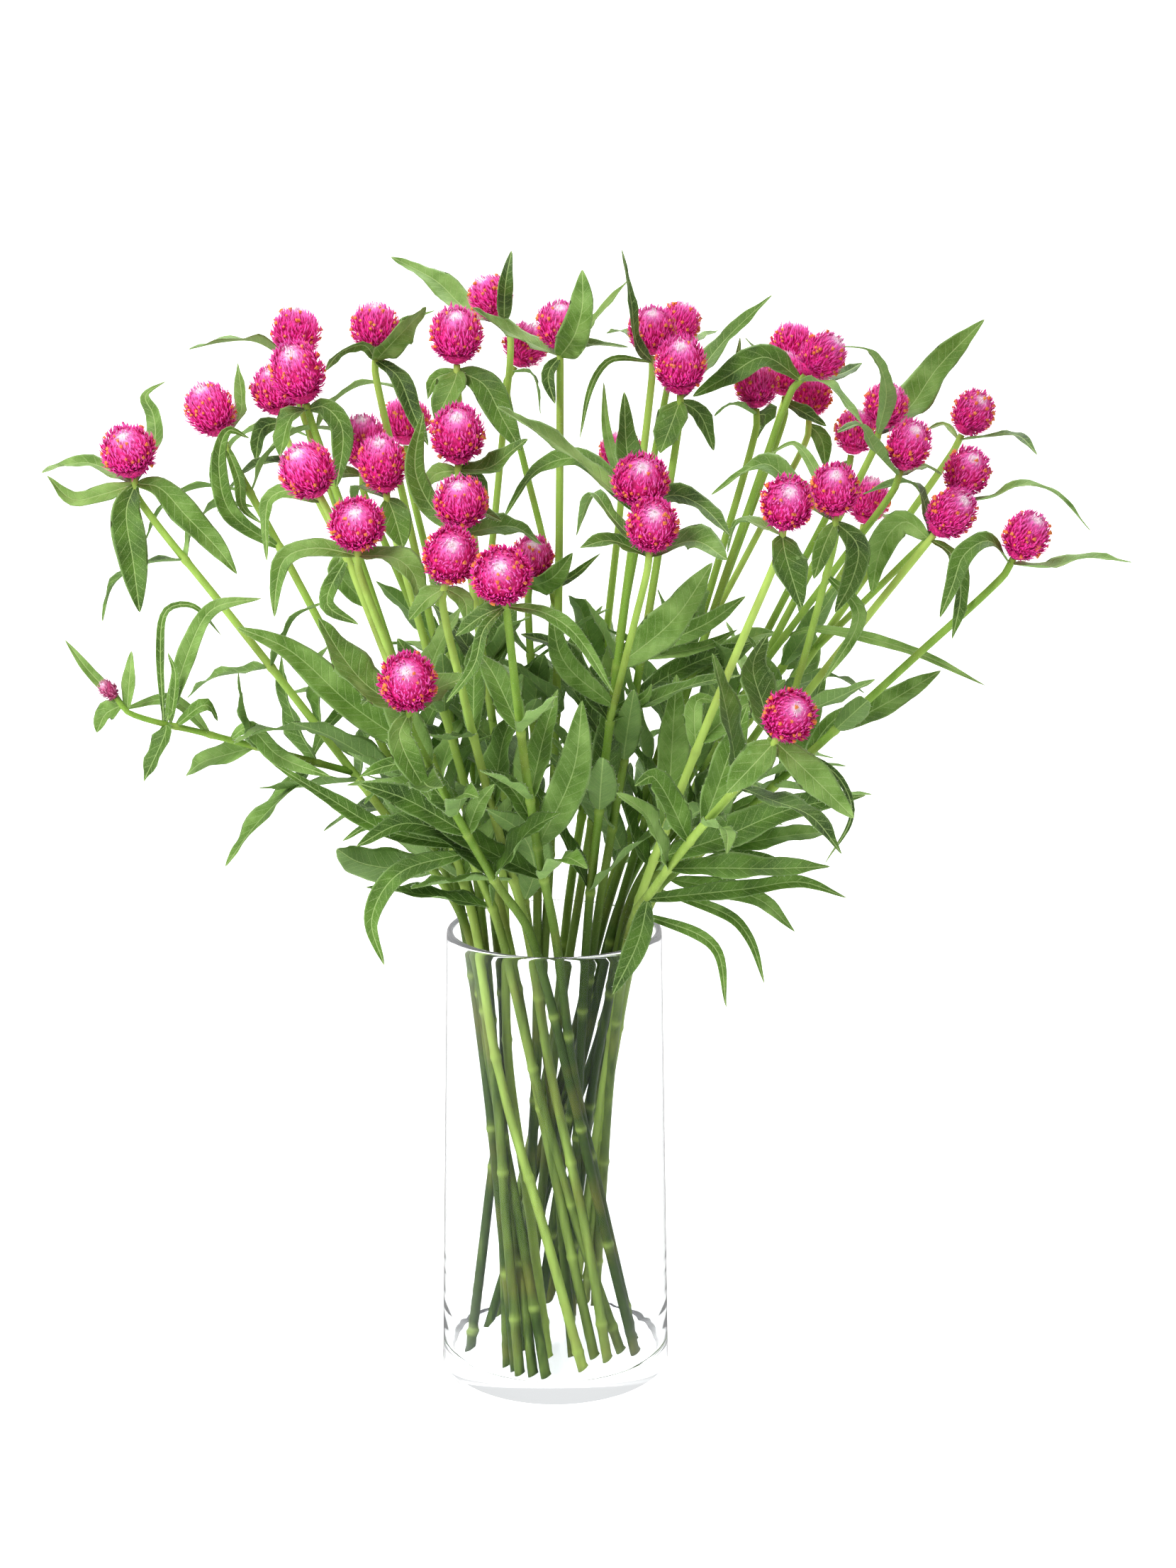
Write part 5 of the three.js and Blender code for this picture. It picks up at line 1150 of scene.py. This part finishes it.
def stemMaterial():
    paint = Paint("stem")
    joint, height, seed = paint.mark("plant")
    streak = paint.noise(260.0, 3.0, (1.0, 1.0, 0.06))
    fine = paint.noise(1500.0, 2.0, (1.0, 1.0, 0.12))
    fuzz = paint.noise(3200.0, 2.0)
    upper = paint.blend(streak * 0.7 + seed * 0.9 - 0.3, stemLook["green"], stemLook["light"])
    # darker green from 300 mm down to 150 mm: painted shade in the vase and the crowded foot of the bunch
    shadedLow = paint.blend(streak * 0.7 + seed * seed * 0.8 - 0.48, stemLook["low"], stemLook["light"])
    colour = paint.blend(paint.step(height, 150.0, 300.0), shadedLow, upper)
    colour = paint.blend(paint.step(paint.noise(38.0, 2.0), 0.48, 0.7) * 0.4, colour, stemLook["tan"])
    colour = paint.blend(joint * 0.55, colour, stemLook["joints"])
    colour = paint.blend(paint.step(fuzz, 0.52, 0.72) * paint.step(height, 120.0, 280.0) * 0.3, colour,
                         leafLook["down"])
    bump = paint.bump(fine, 0.35, 0.0003)
    return paint.finish(Base_Color=colour, Roughness=0.5 + streak * 0.15, Normal=bump, Specular_IOR_Level=0.2)


def leafMaterial():
    paint = Paint("leaf")
    across, seed = paint.mark("plant", "XZ")
    off, sheared, under = paint.mark("flow")
    patch = paint.noise(90.0, 3.0)
    fine = paint.noise(1100.0, 3.0)
    fuzz = paint.noise(3000.0, 2.0)
    colour = paint.ramp(seed * 0.65 + patch * 1.1 - 0.40, [
        (0.0, leafLook["dark"]), (0.5, leafLook["mid"]), (1.0, leafLook["bright"])])
    turns = sheared * (2 * math.pi / leafLook["veinGap"])
    wave = paint.node("ShaderNodeMath", {"operation": "SINE"}, {0: turns})
    veins = paint.step(wave, 0.86, 1.0) * (1 - paint.step(abs(across), 0.6, 0.95))
    rib = 1 - paint.step(abs(off), 0.1, 0.36)
    colour = paint.blend(under * 0.6, colour, leafLook["under"])
    colour = paint.blend(veins * 0.28, colour, leafLook["ribs"])
    colour = paint.blend(rib * 0.7, colour, leafLook["ribs"])
    colour = paint.blend(paint.step(abs(across), 0.86, 1.0) * 0.4, colour, leafLook["down"])
    colour = paint.blend(paint.step(fuzz, 0.5, 0.72) * 0.3, colour, leafLook["down"])
    height = fine * 0.3 - veins * 0.5 - rib * 0.8 + patch * 0.4
    bump = paint.bump(height, 0.55, 0.0006)
    return paint.finish(Base_Color=colour, Roughness=0.5 + fine * 0.2, Normal=bump, Specular_IOR_Level=0.3)


def hairMaterial():
    paint = Paint("down")
    [seed] = paint.mark("plant", "Z")
    colour = paint.blend(seed, leafLook["hair"], leafLook["hairLight"])
    return paint.finish(Base_Color=colour, Roughness=0.6)


# Fine hairs: thin three-sided needles that stand on a surface
def addHairs(mould, roots, ways, long, thick, rng):
    if not len(roots):
        return
    u = unit(np.cross(ways, rng.normal(0, 1, (len(roots), 3))))
    v = np.cross(ways, u)
    ring = []
    for i in range(3):
        a = 2 * math.pi * i / 3
        ring.append(roots - ways * 0.1 + (u * math.cos(a) + v * math.sin(a)) * thick)
    rings = np.stack(ring, 1)[:, None]
    points, quads, triangles = manySkins(rings, roots + ways * long[:, None])
    seeds = np.repeat(rng.uniform(0, 1, len(roots)), 4)
    mould.add(points, quads, triangles, 2, plant=np.stack([seeds * 0, seeds * 0, seeds], -1))


# Distances along a stem of its joints: where its leaves grow, and at even steps down to its foot
def jointsOf(chain, leaves, marks, rng):
    points = chain["points"]
    roots = []
    for leaf in leaves:
        root = leaf["route"][0]
        i = int(np.argmin(toParts(root, points[:-1], points[1:])))
        roots.append(marks[i] + float(dot(root - points[i], unit(points[i + 1] - points[i]))))
    joints = []
    for root in sorted(r for r in roots if r < marks[-1] - 8):
        if not joints or root - joints[-1] > 14:
            joints.append(root)
    lowest = joints[0] if joints else marks[-1] - leafRule["jointStart"]
    while lowest > stemLook["jointGap"] and not chain["parent"]:
        lowest -= stemLook["jointGap"] * rng.uniform(0.8, 1.2)
        joints.append(lowest)
    return np.array([j for j in joints if j > 6])


def addStem(mould, chain, leaves, rng):
    points = chain["points"]
    marks = marksOf(points)
    reach = marks[-1]
    joints = jointsOf(chain, leaves, marks, rng)
    at = np.linspace(0, reach, int(reach / stemLook["step"]) + 1)
    extra = (joints[:, None] + np.array([-1.6, -0.8, 0, 0.8, 1.6])).ravel()
    at = np.unique(np.round(np.concatenate([at, extra[(extra > 0.5) & (extra < reach - 0.5)]]), 2))
    middle = pointsOn(points, at / reach)
    way = headings(middle)
    u = unit(np.cross([0.1, 1, 0.05], way))
    v = np.cross(way, u)
    swell = at * 0
    if len(joints):
        swell = np.exp(-((at[:, None] - joints) / (stemLook["jointLength"] * 0.5)) ** 2).max(1)
    radius = np.interp(at, marks, chain["radii"]) * (1 + stemLook["joint"] * swell)
    a = np.linspace(0, 2 * math.pi, stemLook["sides"], endpoint=False)
    girth = 1 + stemLook["flute"] * np.cos(a * stemLook["flutes"])
    spread = u[:, None] * np.cos(a)[:, None] + v[:, None] * np.sin(a)[:, None]
    rings = middle[:, None] + spread * (radius[:, None] * girth)[..., None]
    if not chain["parent"]:  # cut at a slant, clear of the glass
        rings[0] += (rings[0] - middle[0])[:, :1] * np.array([0, 0, 0.55]) + np.array([0, 0, radius[0] * 0.5])
    seed = rng.uniform(0, 1)
    n = len(a)
    plant = np.stack([np.repeat(swell, n), np.repeat(middle[:, 2], n), np.full(len(at) * n, seed)], -1)
    ends = np.array([[0, 0, seed], [0, 0, seed]])
    mould.add(*skin(rings), 0, plant=np.concatenate([plant, ends]))
    share = rng.uniform(4, reach - 2, int(reach * stemLook["hairs"]))
    share = share[pointsOn(points, share / reach)[:, 2] > stemLook["bald"]]
    many = len(share)
    middle = pointsOn(points, share / reach)
    k = np.clip(np.searchsorted(at, share), 1, len(at) - 1)
    turn = rng.uniform(0, 2 * math.pi, many)
    out = u[k] * np.cos(turn)[:, None] + v[k] * np.sin(turn)[:, None]
    rise = unit(out + way[k] * rng.uniform(0.2, 0.9, many)[:, None])
    long = stemLook["hairLength"] * rng.uniform(0.5, 1.2, many)
    addHairs(mould, middle + out * radius[k][:, None], rise, long, leafLook["hairWidth"] * 0.5, rng)


def addLeaf(mould, leaf, rng):
    frames = leaf["frames"]
    reach, width, rings = leaf["length"], leaf["width"], leaf["rings"]
    count = max(12, int(reach / leafLook["step"]))
    t = np.linspace(0, 1, count)
    t = 0.985 * (t - 0.08 * np.sin(2 * math.pi * t))  # closer rings at both ends
    half = np.maximum(width * bladeShape(t), np.interp(t, [0, 0.1, 0.9, 1], [0.75, 0.6, 0.35, 0.12]))
    columns = np.array(leafLook["columns"])
    over = np.concatenate([-columns[::-1], columns[1:]])
    phase = rng.uniform(0, 6.28)
    turns = reach / rng.uniform(7, 11)
    seed = rng.uniform(0, 1)

    # height of the blade's upper or under side, c of the way from the midrib to an edge
    def lifted(c, underside):
        swing = -leafRule["wave"] * np.cos(math.pi * (t - 0.03) / 0.94 * rings) * np.minimum(t / 0.15, 1)
        ripple = leafLook["ripple"] * np.sin(t * turns * 2 * math.pi + phase + (c > 0) * 1.9) * (abs(c) ** 2)
        curl = leafRule["fold"] * abs(c) ** 1.3 - swing * c * abs(c)
        top = half * 2 * curl + ripple * np.minimum(half / 3, 1)
        rib = leafLook["rib"] * math.exp(-abs(c) * 16) * (1 - t * 0.7)
        depth = leafLook["thickness"] * (1 - 0.6 * abs(c) ** 6) + rib
        return top - depth * 0.5 + rib * 0.15 if underside else top + depth * 0.5 - rib * 0.6

    rows = []
    flow = []
    plant = []
    for underside, path in ((True, over), (False, over[::-1][1:-1])):
        for c in path:
            edge = abs(c) == 1
            lift = (lifted(c, True) + lifted(c, False)) / 2 if edge else lifted(c, underside)
            off = half * c
            rows.append(bladePoint(frames, t, off, lift))
            flow.append(np.stack([off, t * reach - np.abs(off) * 1.15, np.full(count, float(underside))], -1))
            plant.append(np.stack([np.full(count, c), t, np.full(count, seed)], -1))
    points, quads, triangles = skin(np.stack(rows, 1), leaf["route"][-1])
    plant = np.concatenate([np.stack(plant, 1).reshape(-1, 3), [[0, 0, seed], [0, 1, seed]]])
    flow = np.concatenate([np.stack(flow, 1).reshape(-1, 3), [[0, 0, 0], [0, reach, 0]]])
    mould.add(points, quads, triangles, 1, plant=plant, flow=flow)
    many = int(reach * leafLook["edgeHairs"]) * 2
    k = rng.integers(1, count - 1, many)
    sign = np.where(rng.uniform(0, 1, many) < 0.5, -1, 1)
    edges = np.where((sign < 0)[:, None], rows[0][k], rows[len(over) - 1][k])
    none = np.zeros(many)
    middle = bladePoint(frames, t[k], none, none)
    across = bladePoint(frames, t[k], none + 1, none) - middle
    forward = unit(bladePoint(frames, t[k] + 0.01, none, none) - middle)
    ways = unit(across * sign[:, None] + forward * 0.5 + rng.normal(0, 0.35, (many, 3)))
    long = leafLook["hairLength"] * rng.uniform(0.4, 1.1, many)
    addHairs(mould, edges, ways, long, leafLook["hairWidth"] * 0.5, rng)


sprayMaterials = [stemMaterial(), leafMaterial(), hairMaterial()]
for spray in range(1, max(b["spray"] for b in blooms) + 1):
    rng = np.random.default_rng(500 + spray)
    mould = Mould()
    for chain in (c for c in stems if c["spray"] == spray):
        addStem(mould, chain, [leaf for leaf in placedLeaves if leaf["number"] == chain["number"]], rng)
    for leaf in (l for l in placedLeaves if l["spray"] == spray):
        addLeaf(mould, leaf, rng)
    mould.make("spray_%02d" % spray, sprayMaterials, "leafy_stems_%02d" % spray)
print("stems and leaves made")


# Floor, light and camera. The room is in metres.
room = {"white": (0.95, 0.95, 0.95), "cloud": (0.97, 0.97, 0.97), "glow": 0.5, "bend": 0.9,
        "sky": (1.0, 1.0, 1.0), "front": 0.3, "behind": 0.8, "above": 0.3, "below": 0.35,
        "key": 83, "fill": 6, "back": 30, "focal": 78.55, "pitch": 77.14}


# A flat floor that bends up into a wall behind the vase
def makeFloor():
    paint = Paint("pale floor")
    colour = paint.blend(paint.noise(3.0, 2.0) * 0.2, room["white"], room["cloud"])
    material = paint.finish(Base_Color=colour, Roughness=0.75, Emission_Color=room["white"],
                            Emission_Strength=room["glow"])
    bend = room["bend"]
    turns = np.radians(np.arange(10, 91, 10))
    y = np.concatenate([[-3.0, bend], bend + bend * np.sin(turns), [bend * 2]])
    z = np.concatenate([[0, 0], bend - bend * np.cos(turns), [4.0]]) - 0.0003
    points = [(x, b, c) for b, c in zip(y, z) for x in (-4.0, 4.0)]
    faces = [(i * 2, i * 2 + 1, i * 2 + 3, i * 2 + 2) for i in range(len(y) - 1)]
    mesh = bpy.data.meshes.new("floor")
    mesh.from_pydata(points, [], faces)
    mesh.polygons.foreach_set("use_smooth", [True] * len(faces))
    mesh.materials.append(material)
    floor = bpy.data.objects.new("floor", mesh)
    floor.visible_glossy = False  # the glass doesn't mirror it
    bpy.context.scene.collection.objects.link(floor)


def addLamp(name, place, aim, size, power):
    lamp = bpy.data.lights.new(name, "AREA")
    lamp.shape = "RECTANGLE"
    lamp.size, lamp.size_y = size
    lamp.energy = power
    thing = bpy.data.objects.new(name, lamp)
    thing.location = place
    way = np.array(aim, float) - np.array(place, float)
    yaw = math.atan2(way[0], -way[1])
    thing.rotation_euler = (math.acos(clamp(-way[2] / lengthOf(way), -1, 1)), 0, -yaw + math.pi)
    bpy.context.scene.collection.objects.link(thing)


makeFloor()
addLamp("key", (-1.2, -1.3, 1.7), (0, 0, 0.3), (1.2, 1.2), room["key"])
addLamp("fill", (1.6, -0.9, 0.9), (0, 0, 0.3), (1.4, 1.4), room["fill"])
addLamp("back", (0.3, 1.3, 1.8), (0, 0, 0.35), (1.6, 1.0), room["back"])


# A bright room behind the bunch and a dim one in front, which the glass edges mirror.
# It's plain white where the camera sees it.
def makeSky():
    sky = Paint("studio", sky=True)
    way = sky.node("ShaderNodeTexCoord", {}, {}, "Generated")
    back, up = [sky.node("ShaderNodeSeparateXYZ", {}, {"Vector": way}, axis) for axis in ("Y", "Z")]
    light = room["front"] + sky.step(back, -0.6, 0.6) * (room["behind"] - room["front"])
    light = light + sky.step(up, 0.1, 1.0) * room["above"]
    light = light * (room["below"] + sky.step(up, -0.35, 0.05) * (1 - room["below"]))
    direct = sky.node("ShaderNodeLightPath", {}, {}, "Is Camera Ray")
    strength = light * (1 - direct) + direct
    glow = sky.node("ShaderNodeBackground", {}, {"Color": room["sky"], "Strength": strength}, "Background")
    sky.tree.links.new(glow.socket, sky.surface.inputs["Surface"])
    return sky.material


bpy.context.scene.world = makeSky()
bpy.context.scene.view_settings.view_transform = "Standard"

lens = bpy.data.cameras.new("camera")
lens.sensor_fit = "HORIZONTAL"
lens.sensor_width = 36
lens.lens = room["focal"]
lens.clip_start, lens.clip_end = 0.05, 20
camera = bpy.data.objects.new("camera", lens)
camera.location = (eye["across"] * 0.001, -eye["distance"] * 0.001, eye["height"] * 0.001)
camera.rotation_euler = (math.radians(room["pitch"]), 0, 0)
bpy.context.scene.collection.objects.link(camera)
bpy.context.scene.camera = camera

bpy.context.view_layer.update()
